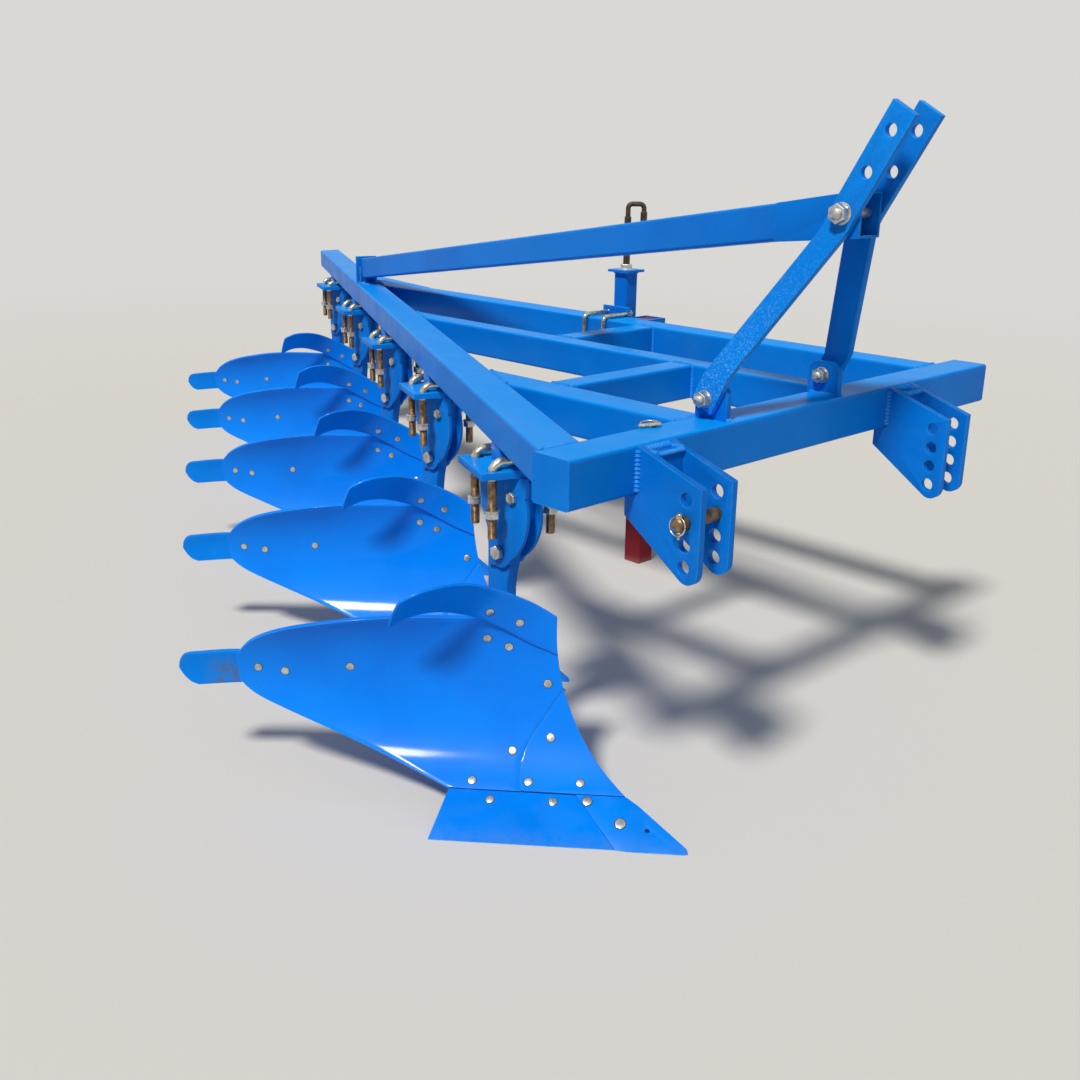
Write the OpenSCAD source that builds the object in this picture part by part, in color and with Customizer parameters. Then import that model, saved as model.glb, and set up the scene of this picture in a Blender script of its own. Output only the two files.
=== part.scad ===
// Five-furrow mounted moldboard plough on a welded box-section frame.
// Drawn with x forward, y to the left and z up. The drawing starts at the front face of the
// cross beam, on the hitch centre line and on the ground, and place() moves it to the row frame.

/* [Frame] */
// Height of the frame's top face over the ground
frame_height = 850; // [800:5:900]
// Side of the square cross beam
cross_side = 100; // [90:1:110]
// Length of the cross beam
cross_length = 1567; // [1540:1:1600]
// Distance from the hitch centre line to the cross beam's right end
right_overhang = 688; // [670:1:710]
// Distance from the cross beam's front face to the frame's rear end
frame_length = 3912; // [3880:1:3960]
// Angle between the diagonal beam and the direction of travel
diagonal_angle = 28.1; // [27:0.1:29]
// Width of the diagonal beam
diagonal_width = 100; // [90:1:110]
// Depth of the diagonal beam
diagonal_depth = 80; // [70:1:95]
// Depth of the three long beams
long_depth = 90; // [70:1:100]
// Left face of the left beam, from the hitch centre line
left_beam_at = 790; // [780:1:800]
// Width of the left beam
left_beam_w = 100; // [80:1:110]
// Left face of the middle beam, from the hitch centre line
middle_beam_at = 334; // [310:1:350]
// Width of the middle beam
middle_beam_w = 75; // [60:1:90]
// Left face of the right beam, right of the hitch centre line
right_beam_at = 188; // [175:1:210]
// Width of the right beam
right_beam_w = 97; // [80:1:105]
// Front face of the rear cross member, behind the cross beam's front
rear_member_at = 1020; // [960:5:1080]
// Front face of the front cross member, behind the cross beam's front
front_member_at = 500; // [460:5:560]
// Width of a cross member
member_w = 75; // [60:1:90]
// Thickness of the corner plate behind the left beam
gusset_t = 12; // [8:1:16]
// Outer corner radius of the frame's tubes
tube_r = 8; // [3:0.5:12]

/* [Hitch] */
// Distance between the middles of the two lower clevises
clevis_spacing = 898; // [880:1:910]
// Free gap between the two plates of a clevis
clevis_gap = 76; // [70:1:85]
// Thickness of a clevis plate
clevis_plate = 16; // [12:1:20]
// How far a clevis plate reaches in front of the cross beam
clevis_reach = 162; // [155:1:175]
// How far a clevis plate reaches below the frame's top
clevis_drop = 250; // [240:1:265]
// Distance of the lower holes in front of the cross beam
lower_hole_x = 126; // [120:1:132]
// Depth of the first lower hole below the frame's top
lower_hole_top = 82; // [78:1:90]
// Pitch of the lower holes
lower_hole_pitch = 45; // [40:1:46]
// Diameter of a lower hole
lower_hole_d = 29; // [26:0.5:32]
// Diameter of the hitch pin
hitch_pin_d = 28; // [24:0.5:28.5]
// Number of lower holes in a plate
lower_holes = 4; // [2:1:4]

/* [Mast] */
// Thickness of a mast bar
mast_bar_t = 16; // [12:1:20]
// Width of a mast bar
mast_bar_w = 58; // [54:1:66]
// Free gap between the bars at the top
mast_gap = 78; // [74:1:84]
// Distance of a bar's foot from the centre line
mast_foot_y = 222; // [215:1:235]
// Height of the foot bolt over the frame's top
foot_bolt_z = 44; // [40:1:52]
// Distance of the foot bolt behind the cross beam's front face
foot_bolt_x = 62; // [55:1:70]
// Lean of the lower bar to the vertical
mast_lean_low = 25.4; // [23:0.1:27]
// Lean of the upper bar to the vertical
mast_lean_top = 30; // [28:0.1:32]
// Height of the brace bolt over the frame's top
brace_bolt_z = 423; // [410:1:435]
// Distance between the two top-link holes along the bar
top_hole_pitch = 90; // [80:1:100]
// Distance from the brace bolt to the lower top-link hole along the bar
top_hole_from = 92; // [88:1:110]
// Diameter of a top-link hole
top_hole_d = 26; // [24:0.5:30]
// Length of bar beyond the upper top-link hole
mast_tip = 48; // [40:1:60]
// Diameter of the brace bolt
brace_bolt_d = 24; // [20:1:26]
// Diameter of a foot bolt
foot_bolt_d = 20; // [16:1:22]
// Height of a foot lug
lug_h = 76; // [72:1:90]
// Thickness of a foot lug
lug_t = 16; // [12:1:18]

/* [Brace] */
// Height of the brace tube
brace_h = 78; // [70:1:82]
// Width of the brace tube
brace_w = 56; // [50:1:58]
// Wall of the brace head
head_wall = 6; // [4:1:7]
// Distance of the brace head's rear end behind the cross beam's front face
head_rear = 55; // [40:1:80]
// How far the brace head reaches past the brace bolt
head_front = 32; // [26:1:36]
// Slope of the brace to the ground
brace_pitch = 7.4; // [7:0.1:7.8]
// Distance of the brace's rear end behind the cross beam's front face
brace_rear = 2560; // [2500:5:2620]

/* [Plough bodies] */
// Number of bodies
bodies = 5; // [5:1:5]
// Distance from one body to the next along the travel
body_pitch = 764; // [750:1:780]
// Distance behind the cross beam's front of the first body's reference point
body_x = 241; // [230:1:255]
// Distance of the first body's landside plane right of the centre line
body_y = 482; // [475:1:490]
// Angle of the share's edge to the travel
share_angle = 41.8; // [41:0.1:43]
// Height of the share's upper seam
share_h = 64; // [62:1:68]
// Slope of the share to the ground
share_pitch = 31; // [30:0.5:32]
// Distance of the cutting line in front of the reference point
edge_x = 380; // [375:1:390]
// Thickness of a share
share_t = 12; // [10:1:14]
// Thickness of a share point
point_t = 16; // [14:1:18]
// How far a share point stands proud of the share
point_proud = 2; // [0:0.5:3]
// Diameter of the spare bolt hole in each share point
spare_hole_d = 11; // [8:0.5:14]
// Thickness of a moldboard
board_t = 8; // [7:0.5:10]
// Extra turn of the upper board towards square
board_twist = 11; // [9:0.5:13]
// Forward curl of the trashboard's free end
trash_curl = 55; // [40:1:65]
// Thickness of a leg plate
leg_t = 30; // [25:1:34]
// Width of a leg plate
leg_w = 96; // [85:1:105]
// Width of the bar behind the share's bolts
share_bar_w = 56; // [50:1:58]
// Thickness of the bar behind the share's bolts
share_bar_t = 10; // [6:1:12]
// Height of a landside
landside_h = 120; // [100:1:135]
// Length of a landside
landside_l = 420; // [360:5:450]

/* [Clamps] */
// Length of a clamp plate along the beam
clamp_l = 172; // [160:1:180]
// Width of a clamp plate across the beam
clamp_w = 200; // [185:1:220]
// Angle between the clamps' plates and the travel
clamp_angle = 23; // [20:0.5:28]
// Thickness of a clamp plate
clamp_t = 16; // [12:1:18]
// Free height between the diagonal beam and the clamp plate
clamp_neck = 40; // [36:1:48]
// Thickness of a clamp cheek
cheek_t = 10; // [8:1:14]
// Diameter of the clamps' bolt rod
rod_d = 20; // [18:1:22]
// Spacing of the two rods along the beam
rod_pitch = 124; // [116:1:130]
// Length of a rod leg below the clamp plate
rod_leg = 172; // [130:1:180]
// Depth of the leg's pivot bolt below the frame's top
pivot_drop = 321; // [315:1:330]
// Depth of the upper leg bolt below the frame's top
upper_bolt_drop = 185; // [175:1:195]
// Distance of the upper leg bolt in front of the pivot bolt
upper_bolt_x = 46; // [40:1:56]
// Diameter of the leg's pivot bolt
pivot_bolt_d = 20; // [16:1:22]
// Diameter of the upper leg bolt
upper_bolt_d = 16; // [12:1:18]

/* [Stand and jack] */
// Side of the stand's square leg
stand_side = 70; // [60:1:72]
// Wall of the stand's socket
socket_wall = 6; // [4:1:6]
// Play between the stand's leg and its socket
socket_play = 1; // [0.5:0.1:1.5]
// Distance of the stand's leg behind the cross beam's front face
stand_at = 1172; // [1160:1:1173]
// Side of the screw jack's square sleeve
sleeve_side = 56; // [50:1:58]
// Wall of the jack's sleeve
sleeve_wall = 5; // [4:1:7]
// Distance of the jack behind the cross beam's front face
jack_at = 1271; // [1270:1:1275]
// Height of the jack's sleeve over the frame's top
sleeve_up = 150; // [120:1:170]
// Diameter of the jack's screw
screw_d = 22; // [18:1:26]
// Diameter of the jack's clamp rods
jack_rod_d = 14; // [12:1:16]
// Distance between the jack's clamp rods
jack_rod_pitch = 86; // [84:1:88]

/* [Hidden] */
$fn = 48;
seat = 0.3;
blue = [0.0, 0.33, 0.85];
top_z = frame_height;
// Middle of the whole plough, where the row frame has its origin
middle_x = -1832.0;
middle_y = 205.42;
// The diagonal beam starts behind the cross beam at the frame's right rear corner
diagonal_start = cross_side - 14;
slope = tan(diagonal_angle);
body_step = body_pitch * slope;
diagonal_y = diagonal_width / cos(diagonal_angle);
function outer_y(x) = (-x - diagonal_start) * slope + 7 - right_overhang;
function inner_x(y) = -(y - 7 - diagonal_y + right_overhang) / slope - diagonal_start;
// Middle of the diagonal beam at the first clamp
clamp_x = -409;
pivot_z = top_z - pivot_drop;
upper_bolt_z = top_z - upper_bolt_drop;
body_at = [for (k = [0 : bodies - 1]) [-k * body_pitch, k * body_step]];

module place() {
    translate([-middle_x, -middle_y, 0])
        children();
}

// A flat plate in the x and z plane whose right face lies at y
module side_plate(y, t) {
    translate([0, y + t, 0])
        rotate([90, 0, 0])
            linear_extrude(t)
                children();
}

// A bar along y with its axis at x and z, from y0 to y1
module cross_rod(x, z, d, y0, y1) {
    translate([x, y0, z])
        rotate([-90, 0, 0])
            cylinder(d = d, h = y1 - y0);
}

// A hexagon head or nut along y that starts at y0
module hex_y(x, z, flats, y0, h) {
    translate([x, y0, z])
        rotate([-90, 0, 0])
            cylinder(d = flats / cos(30), h = h, $fn = 6);
}

// Section of a rolled tube with round corners, from its lower right corner
module tube_section(w, h, r) {
    translate([r, 0])
        square([w - 2 * r, h]);
    translate([0, r])
        square([w, h - 2 * r]);
    for (x = [r, w - r])
        for (y = [r, h - r])
            translate([x, y])
                circle(r = r);
}

// A tube along x that starts at the origin
module tube(length, w, h, r) {
    rotate([90, 0, 90])
        linear_extrude(length)
            tube_section(w, h, r);
}

// Frame

module cross_beam() {
    color(blue)
        translate([0, -right_overhang, top_z - cross_side])
            rotate([0, 0, 90])
                tube(cross_length, cross_side, cross_side, tube_r);
}

module diagonal_beam() {
    front = -cross_side;
    run = frame_length - cross_side;
    spare = 200;
    color(blue)
        intersection() {
            translate([front, outer_y(front), top_z - diagonal_depth])
                rotate([0, 0, 180 - diagonal_angle])
                    translate([-spare, -diagonal_width, 0])
                        tube(run / cos(diagonal_angle) + 2 * spare, diagonal_width, diagonal_depth, tube_r);
            translate([-frame_length, -2000, 0])
                cube([run, 5000, 2 * top_z]);
        }
}

// A beam along the travel whose left face lies at y, from the cross beam to the diagonal beam
module long_beam(y, w) {
    rear = inner_x(y) - 10;
    far = 4000;
    difference() {
        translate([rear, y - w, top_z - long_depth])
            tube(-cross_side - rear, w, long_depth, tube_r);
        linear_extrude(2 * top_z)
            polygon([[inner_x(-far) + 2 * seat, -far], [inner_x(far) + 2 * seat, far], [inner_x(far) - far, far],
                [inner_x(far) - far, -far]]);
    }
}

module left_beam() {
    y = left_beam_at;
    color(blue) {
        long_beam(y, left_beam_w);
        translate([0, 0, top_z - gusset_t])
            linear_extrude(gusset_t)
                polygon([[inner_x(y) + 350, y], [inner_x(y + 110), y + 110], [inner_x(y), y]]);
    }
}

module middle_beam() {
    color(blue)
        long_beam(middle_beam_at, middle_beam_w);
}

module right_beam() {
    color(blue)
        long_beam(-right_beam_at, right_beam_w);
}

module cross_members() {
    // [front face, right end, left end]
    members = [[rear_member_at, middle_beam_at, left_beam_at - left_beam_w],
        [front_member_at, -right_beam_at, middle_beam_at - middle_beam_w]];
    color(blue)
        for (m = members)
            translate([-m[0], m[1], top_z - long_depth])
                rotate([0, 0, 90])
                    tube(m[2] - m[1], member_w, long_depth, tube_r);
}

// Hitch

module clevis_outline() {
    nose = 28;
    hook = 30;
    lower = top_z - clevis_drop;
    nose_x = clevis_reach - nose;
    nose_z = lower + nose;
    under = top_z - cross_side;
    tip = [nose_x - nose * 0.555, nose_z - nose * 0.832];
    difference() {
        union() {
            polygon([[0, top_z - 2], [clevis_reach, top_z - 56], [clevis_reach, nose_z], [nose_x, nose_z], tip,
                [-hook, tip[1] + (tip[0] + hook) * 0.667], [-hook, under - seat], [0, under - seat]]);
            translate([nose_x, nose_z])
                circle(r = nose);
        }
        for (i = [0 : lower_holes - 1])
            translate([lower_hole_x, top_z - lower_hole_top - i * lower_hole_pitch])
                circle(d = lower_hole_d);
    }
}

module clevis(side) {
    middle = side * clevis_spacing / 2;
    block_h = 46;
    for (y = [middle - clevis_gap / 2 - clevis_plate, middle + clevis_gap / 2])
        side_plate(y, clevis_plate)
            clevis_outline();
    // Spacer box between the plates, on the beam's face
    translate([0, middle - clevis_gap / 2, top_z - block_h - 14])
        cube([40, clevis_gap, block_h]);
}

module hitch_clevis_right() {
    color(blue)
        clevis(-1);
}

module hitch_clevis_left() {
    color(blue)
        clevis(1);
}

module hitch_pin() {
    z = top_z - lower_hole_top - lower_hole_pitch;
    reach = clevis_gap / 2 + clevis_plate;
    middle = -clevis_spacing / 2;
    color([0.55, 0.42, 0.25]) {
        cross_rod(lower_hole_x, z, hitch_pin_d, middle - reach - 26, middle + reach + 6);
        cross_rod(lower_hole_x, z, hitch_pin_d + 12, middle + reach + seat, middle + reach + 12);
    }
}

// Mast

brace_bolt_x = -foot_bolt_x + (brace_bolt_z - foot_bolt_z) * tan(mast_lean_low);
bar_y = mast_gap / 2;
mast_kink = brace_bolt_z - 35;
foot_top = foot_bolt_z + 49;
upper_len = top_hole_from + top_hole_pitch + mast_tip;

// Side view of a mast bar, in x and height over the frame's top
module mast_side() {
    half = mast_bar_w / 2;
    low = mast_lean_low;
    up = mast_lean_top;
    translate([brace_bolt_x, brace_bolt_z]) {
        rotate(-low)
            translate([-half, -(brace_bolt_z - foot_bolt_z) / cos(low) - half + 8])
                square([mast_bar_w, (brace_bolt_z - foot_bolt_z) / cos(low) + half - 8]);
        circle(r = half);
        rotate(-up)
            translate([-half, 0])
                square([mast_bar_w, upper_len]);
    }
}

// Front view of the left mast bar, in y and height over the frame's top
module mast_front() {
    t = mast_bar_t;
    foot = mast_foot_y - t / 2;
    polygon([[foot, -10], [foot, foot_top], [bar_y, mast_kink], [bar_y, brace_bolt_z + upper_len + 30],
        [bar_y + t, brace_bolt_z + upper_len + 30], [bar_y + t, mast_kink + 4], [foot + t, foot_top + 4],
        [foot + t, -10]]);
}

module mast_bar(side) {
    far = 400;
    translate([0, 0, top_z])
        difference() {
            intersection() {
                side_plate(-far, 2 * far)
                    mast_side();
                rotate([90, 0, 90])
                    translate([0, 0, -far])
                        linear_extrude(2 * far)
                            mirror([side < 0 ? 1 : 0, 0])
                                mast_front();
            }
            cross_rod(-foot_bolt_x, foot_bolt_z, foot_bolt_d + 0.2, -far, far);
            cross_rod(brace_bolt_x, brace_bolt_z, brace_bolt_d + 0.2, -far, far);
            for (i = [0, 1])
                cross_rod(top_hole_x(i), top_hole_z(i), top_hole_d, -far, far);
        }
}
function top_hole_at(i) = top_hole_from + i * top_hole_pitch;
function top_hole_x(i) = brace_bolt_x + top_hole_at(i) * sin(mast_lean_top);
function top_hole_z(i) = brace_bolt_z + top_hole_at(i) * cos(mast_lean_top);

module mast_bar_right() {
    color(blue)
        mast_bar(-1);
}

module mast_bar_left() {
    color(blue)
        mast_bar(1);
}

module mast_lugs() {
    inner = mast_foot_y - mast_bar_t / 2 - seat;
    corner = 26;
    color(blue)
        for (side = [-1, 1])
            translate([0, 0, top_z])
                difference() {
                    side_plate(side > 0 ? inner - lug_t : -inner, lug_t)
                        union() {
                            translate([-cross_side, 0])
                                square([84, lug_h - corner]);
                            translate([-cross_side + corner, 0])
                                square([84 - 2 * corner, lug_h]);
                            for (x = [corner, 84 - corner])
                                translate([x - cross_side, lug_h - corner])
                                    circle(r = corner);
                        }
                    cross_rod(-foot_bolt_x, foot_bolt_z, foot_bolt_d + 0.2, -400, 400);
                }
}

module mast_bolts() {
    outer = mast_foot_y + mast_bar_t / 2;
    inner = mast_foot_y - mast_bar_t / 2 - seat - lug_t;
    half = bar_y + mast_bar_t;
    color("silver")
        translate([0, 0, top_z]) {
            for (side = [-1, 1]) {
                y0 = side > 0 ? inner - 13 : -outer - 13;
                cross_rod(-foot_bolt_x, foot_bolt_z, foot_bolt_d, y0, y0 + 26 + outer - inner);
                hex_y(-foot_bolt_x, foot_bolt_z, 30, y0, 13 - seat);
                hex_y(-foot_bolt_x, foot_bolt_z, 30, y0 + 13 + outer - inner + seat, 13 - seat);
            }
            cross_rod(brace_bolt_x, brace_bolt_z, brace_bolt_d, -half - 24, half + 18);
            hex_y(brace_bolt_x, brace_bolt_z, 36, -half - 19, 19 - seat);
            hex_y(brace_bolt_x, brace_bolt_z, 36, half + seat, 16);
        }
}

// Brace

head_w = mast_gap - 3;
head_x = -head_rear;
head_z = 396;
head_rear_h = 80;
head_front_h = 94;
head_rise = 26;
brace_end_y = outer_y(-brace_rear) + diagonal_y / 2;
brace_run = brace_rear - head_rear;
brace_yaw = atan(brace_end_y / brace_run);
brace_len = brace_run / cos(brace_yaw) / cos(brace_pitch);

// Side view of the brace head, less in from its outline, from its rear face
module head_side(less) {
    front = brace_bolt_x + head_front - head_x;
    polygon([[less, -head_rear_h / 2 + less], [less, head_rear_h / 2 - less],
        [front + less, head_rise + head_front_h / 2 - less], [front + less, head_rise - head_front_h / 2 + less]]);
}

module brace_head() {
    inner = head_w - 2 * head_wall;
    color(blue)
        difference() {
            translate([head_x, 0, top_z + head_z])
                difference() {
                    side_plate(-head_w / 2, head_w)
                        head_side(0);
                    side_plate(-inner / 2, inner)
                        head_side(head_wall);
                }
            cross_rod(brace_bolt_x, top_z + brace_bolt_z, brace_bolt_d + 0.2, -100, 100);
        }
}

// The brace runs back and down from the head to the diagonal beam's top
module brace_tube() {
    color(blue)
        difference() {
            translate([head_x, 0, top_z + head_z])
                rotate([0, 0, 180 - brace_yaw])
                    rotate([0, brace_pitch, 0])
                        translate([-60, -brace_w / 2, -brace_h / 2])
                            tube(brace_len + 60, brace_w, brace_h, tube_r);
            // Cut at the head's rear face and flat seat on the beam's top
            translate([head_x - seat, -100, top_z + head_z - 100])
                cube([200, 200, 200]);
            translate([-brace_rear - 200, brace_end_y - 200, top_z - 200])
                cube([900, 400, 200 + seat]);
        }
}

module brace_lug() {
    lug_w = 84;
    lug_up = 104;
    color(blue)
        translate([-brace_rear, brace_end_y, top_z])
            rotate([0, 0, -brace_yaw])
                translate([-26, -lug_w / 2, 0])
                    cube([12, lug_w, lug_up]);
}

// Plough bodies

seam_back = share_h / tan(share_pitch);
knee_back = 249;
knee_h = 149;
board_top = 420;
twist_from = 145;
twist_span = 290;
share_up = share_h / sin(share_pitch);
share_heel = 529;
// How far the board lies behind the cutting line at height h, square to that line
function bend_at(h) = let (a = share_h - 2 * knee_h + board_top, b = 2 * (knee_h - share_h), c = share_h - h)
    (-b + sqrt(b * b - 4 * a * c)) / (2 * a);
function back_at(h) = h <= share_h ? h / tan(share_pitch) : h >= board_top ? knee_back
    : let (u = bend_at(h)) (1 - u) * (1 - u) * seam_back + (2 * u * (1 - u) + u * u) * knee_back;
// Angle of the board's level lines to the travel at height h
function turn_at(h) = share_angle + board_twist * pow(max(0, h - twist_from) / twist_span, 3);
// A point of the working face, by the distance along its level line and the height, raised off it by lift
function face_at(along, h, lift) = let (a = turn_at(h))
    [edge_x - back_at(h) / sin(share_angle) - along * cos(a) + lift * sin(a),
        -along * sin(a) - lift * cos(a), h];
// Sine of the face's slope at height h
function steep_at(h) = let (d = back_at(h + 1) - back_at(h - 1)) 2 / sqrt(4 + d * d);
// Distance in front of the reference point of a spot behind a sheet of thickness t, at y and height h
function behind_at(y, h, t) = edge_x - back_at(h) / sin(share_angle) + y / tan(turn_at(h))
    - t / steep_at(h) / sin(turn_at(h));
function curl_at(along) = trash_curl * pow(max(along, 0) / 360, 2.4);

// A bent sheet on the working face. Each row of the table is
// [along at the lower edge, lower edge's height, along at the upper edge, upper edge's height].
module sheet(table, steps, lift, t, curl) {
    cols = len(table);
    rows = steps + 1;
    grid = [for (side = [0, 1]) for (c = table) for (j = [0 : steps])
        let (f = j / steps, along = c[0] + (c[2] - c[0]) * f, h = c[1] + (c[3] - c[1]) * f,
            off = lift + (curl ? curl_at(along) : 0) - side * t)
        face_at(along, h, off / steep_at(h))];
    n = cols * rows;
    front = [for (i = [0 : cols - 2]) for (j = [0 : steps - 1])
        let (a = i * rows + j) [a, a + 1, a + rows + 1, a + rows]];
    back = [for (f = front) [n + f[3], n + f[2], n + f[1], n + f[0]]];
    low = [for (i = [0 : cols - 2]) [i * rows, (i + 1) * rows, n + (i + 1) * rows, n + i * rows]];
    high = [for (i = [0 : cols - 2]) let (a = i * rows + steps) [a, n + a, n + a + rows, a + rows]];
    first = [for (j = [0 : steps - 1]) [j, n + j, n + j + 1, j + 1]];
    last = [for (j = [0 : steps - 1]) let (a = n - rows + j) [a, a + 1, n + a + 1, n + a]];
    fours = concat(front, back, low, high, first, last);
    polyhedron(grid, [for (q = fours) for (f = [[q[0], q[1], q[2]], [q[0], q[2], q[3]]]) f], convexity = 4);
}

module on_body(k) {
    translate([-body_x + body_at[k][0], -body_y + body_at[k][1], 0])
        children();
}

// Outlines on the working face
board_rows = [[2, 254, 2, 410], [30, 226, 30, 412], [60, 197, 66, 414], [90, 171, 105, 416], [119, 148, 150, 418],
    [173, 104, 205, 420], [218, 66, 258, 422], [300, 66, 320, 423], [381, 66, 372, 422], [447, 97, 440, 417],
    [531, 134, 515, 405], [604, 164, 580, 391], [660, 188, 635, 372], [700, 208, 680, 347], [722, 226, 708, 322],
    [733, 243, 724, 304]];
shin_rows = [[0, 69, 0, 250], [26, 69, 26, 226], [56, 69, 56, 196.5], [86, 69, 86, 169.5], [115, 69, 115, 146],
    [169, 69, 169, 102.5], [208, 69, 208, 72]];
trash_rows = [[2, 332, 0, 419], [30, 345, 28, 438], [61, 359, 56, 455], [115, 393, 110, 483], [169, 423, 165, 508],
    [213, 440, 205, 522], [257, 452, 250, 530], [300, 454, 300, 531], [335, 444, 330, 524], [364, 426, 355, 509]];
strip_rows = [[620, 234, 600, 302], [690, 236, 672, 310], [760, 231, 735, 312], [840, 223, 836, 300],
    [856, 230, 852, 294], [867, 245, 863, 282], [872, 262, 869, 270]];

module moldboard(k) {
    color(blue)
        on_body(k)
            sheet(board_rows, 8, 0, board_t, false);
}

// The share lies in one plane: x runs along the cutting line, y up the slope and z into the steel
module share_plane() {
    translate([edge_x, 0, 0])
        rotate([0, 0, 180 + share_angle])
            rotate([180 - share_pitch, 0, 0])
                children();
}
// A spot in the share's plane, by the distance along its level line and the distance up the slope
function plane_at(along, up) = [along + up * cos(share_pitch) / tan(share_angle), up];

module ground_cut() {
    deep = 60;
    translate([edge_x - 2 * share_heel, -2 * share_heel, -deep])
        cube([3 * share_heel, 3 * share_heel, deep]);
}

module share(k) {
    color(blue)
        on_body(k)
            difference() {
                share_plane()
                    linear_extrude(share_t)
                        polygon([plane_at(133, 0), plane_at(104, share_up - 0.5), plane_at(381, share_up - 0.5),
                            plane_at(share_heel, 0)]);
                ground_cut();
            }
}

module share_points() {
    color(blue)
        for (k = [0 : bodies - 1])
            on_body(k)
                difference() {
                    share_plane()
                        translate([0, 0, -point_proud])
                            linear_extrude(point_t)
                                polygon([plane_at(132.5, 0), plane_at(103.5, share_up - 0.5),
                                    plane_at(-6, share_up - 0.5), plane_at(-14, 103), plane_at(-27, 12), [-18, 0],
                                    [-10, -5], [55, -7]]);
                    share_plane()
                        translate([plane_at(21, 48)[0], plane_at(21, 48)[1], -point_proud - 1])
                            cylinder(h = point_t + 2, d = spare_hole_d, $fn = 32);
                    ground_cut();
                }
}

module shins() {
    color(blue)
        for (k = [0 : bodies - 1])
            on_body(k)
                sheet(shin_rows, 6, 0, board_t, false);
}

module trashboards() {
    color(blue)
        for (k = [0 : bodies - 1])
            on_body(k)
                sheet(trash_rows, 4, seat + 6, 6, true);
}

module tail_strips() {
    color(blue)
        for (k = [0 : bodies - 1])
            on_body(k)
                sheet(strip_rows, 3, -board_t - 1.2, 8, false);
}

// The leg stands left of the landside's face, and the frog joins them on the right
leg_right = -11;
leg_axis = -162;
// [x from the leg's axis, height, diameter, width across the head's flats]
leg_bolts = [[0, pivot_z, pivot_bolt_d, 30], [upper_bolt_x, upper_bolt_z, upper_bolt_d, 24]];
frog_t = 24;

// Leg plate seen from the side, in the body's own x and height
module leg_outline() {
    half = leg_w / 2;
    top = upper_bolt_z + 34;
    heel = 126;
    knee = 160;
    sweep = [[-148, 440], [-148, 400], [-128, 340], [-92, 280], [-45, 215], [behind_at(leg_right, knee, 12), knee],
        [behind_at(leg_right, heel, 12), heel]];
    front = leg_axis + upper_bolt_x + 26;
    polygon(concat([[leg_axis - half, top], [front, top], [front, upper_bolt_z - 40], [leg_axis + half, pivot_z + 40],
        [leg_axis + 30, pivot_z - 15], [leg_axis + 19, pivot_z - 55]], sweep,
        [[-230, heel], [-238, 200], [-226, 300], [leg_axis - half, pivot_z - 110]]));
}

module legs() {
    color(blue)
        for (k = [0 : bodies - 1])
            on_body(k)
                difference() {
                    side_plate(leg_right, leg_t)
                        leg_outline();
                    for (b = leg_bolts)
                        cross_rod(leg_axis + b[0], b[1], b[2] + 0.2, -100, 100);
                }
}

// Bar behind the share that its bolts go through, from the frog outwards
module share_bar() {
    up = share_up - 4;
    share_plane()
        translate([0, 0, point_t - point_proud + seat])
            linear_extrude(share_bar_t)
                polygon([plane_at(40, up - share_bar_w), plane_at(40, up), plane_at(340, up),
                    plane_at(340, up - share_bar_w)]);
}

module frogs() {
    y = leg_right - seat - frog_t;
    share_edge = [for (h = [20, share_h - 2]) [behind_at(y, h, point_t - point_proud + seat), h]];
    board_edge = [for (h = [80, 110, 140, 170, 200, 240, 280, 310]) [behind_at(y, h, board_t + 1.5), h]];
    color(blue)
        for (k = [0 : bodies - 1])
            on_body(k) {
                side_plate(y, frog_t)
                    polygon(concat(share_edge, board_edge, [[-150, 310], [-215, 240], [-215, 60], [-120, 20]]));
                share_bar();
            }
}

module landsides() {
    color(blue)
        for (k = [0 : bodies - 1])
            on_body(k)
                side_plate(leg_right, -leg_right)
                    polygon([[230, 4], [150, 62], [80, landside_h], [-landside_l, landside_h], [-landside_l, 0],
                        [230, 0]]);
}

stay_along = 425;
stay_w = 75;

module stays() {
    h = 280;
    y = leg_right - frog_t - 2 * seat;
    gap = -board_t - 3;
    near = face_at(stay_along, h, gap);
    far = face_at(stay_along + stay_w, h, gap);
    color(blue)
        for (k = [0 : bodies - 1])
            on_body(k)
                translate([0, 0, h - 6])
                    linear_extrude(12)
                        polygon([[-150, y], [-200, y], [far[0], far[1]], [near[0], near[1]]]);
}

// Clamps

clamp_y = outer_y(clamp_x) + 51;
plate_top = top_z - diagonal_depth - clamp_neck;

module at_clamp(k) {
    translate([clamp_x + body_at[k][0], clamp_y + body_at[k][1], 0])
        rotate([0, 0, -clamp_angle])
            children();
}

rod_y = clamp_w / 2 - 32;
crown_z = 18;
cheek_right = -body_y + leg_right - seat - cheek_t;
cheek_left = -body_y + leg_right + leg_t + seat;

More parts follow.
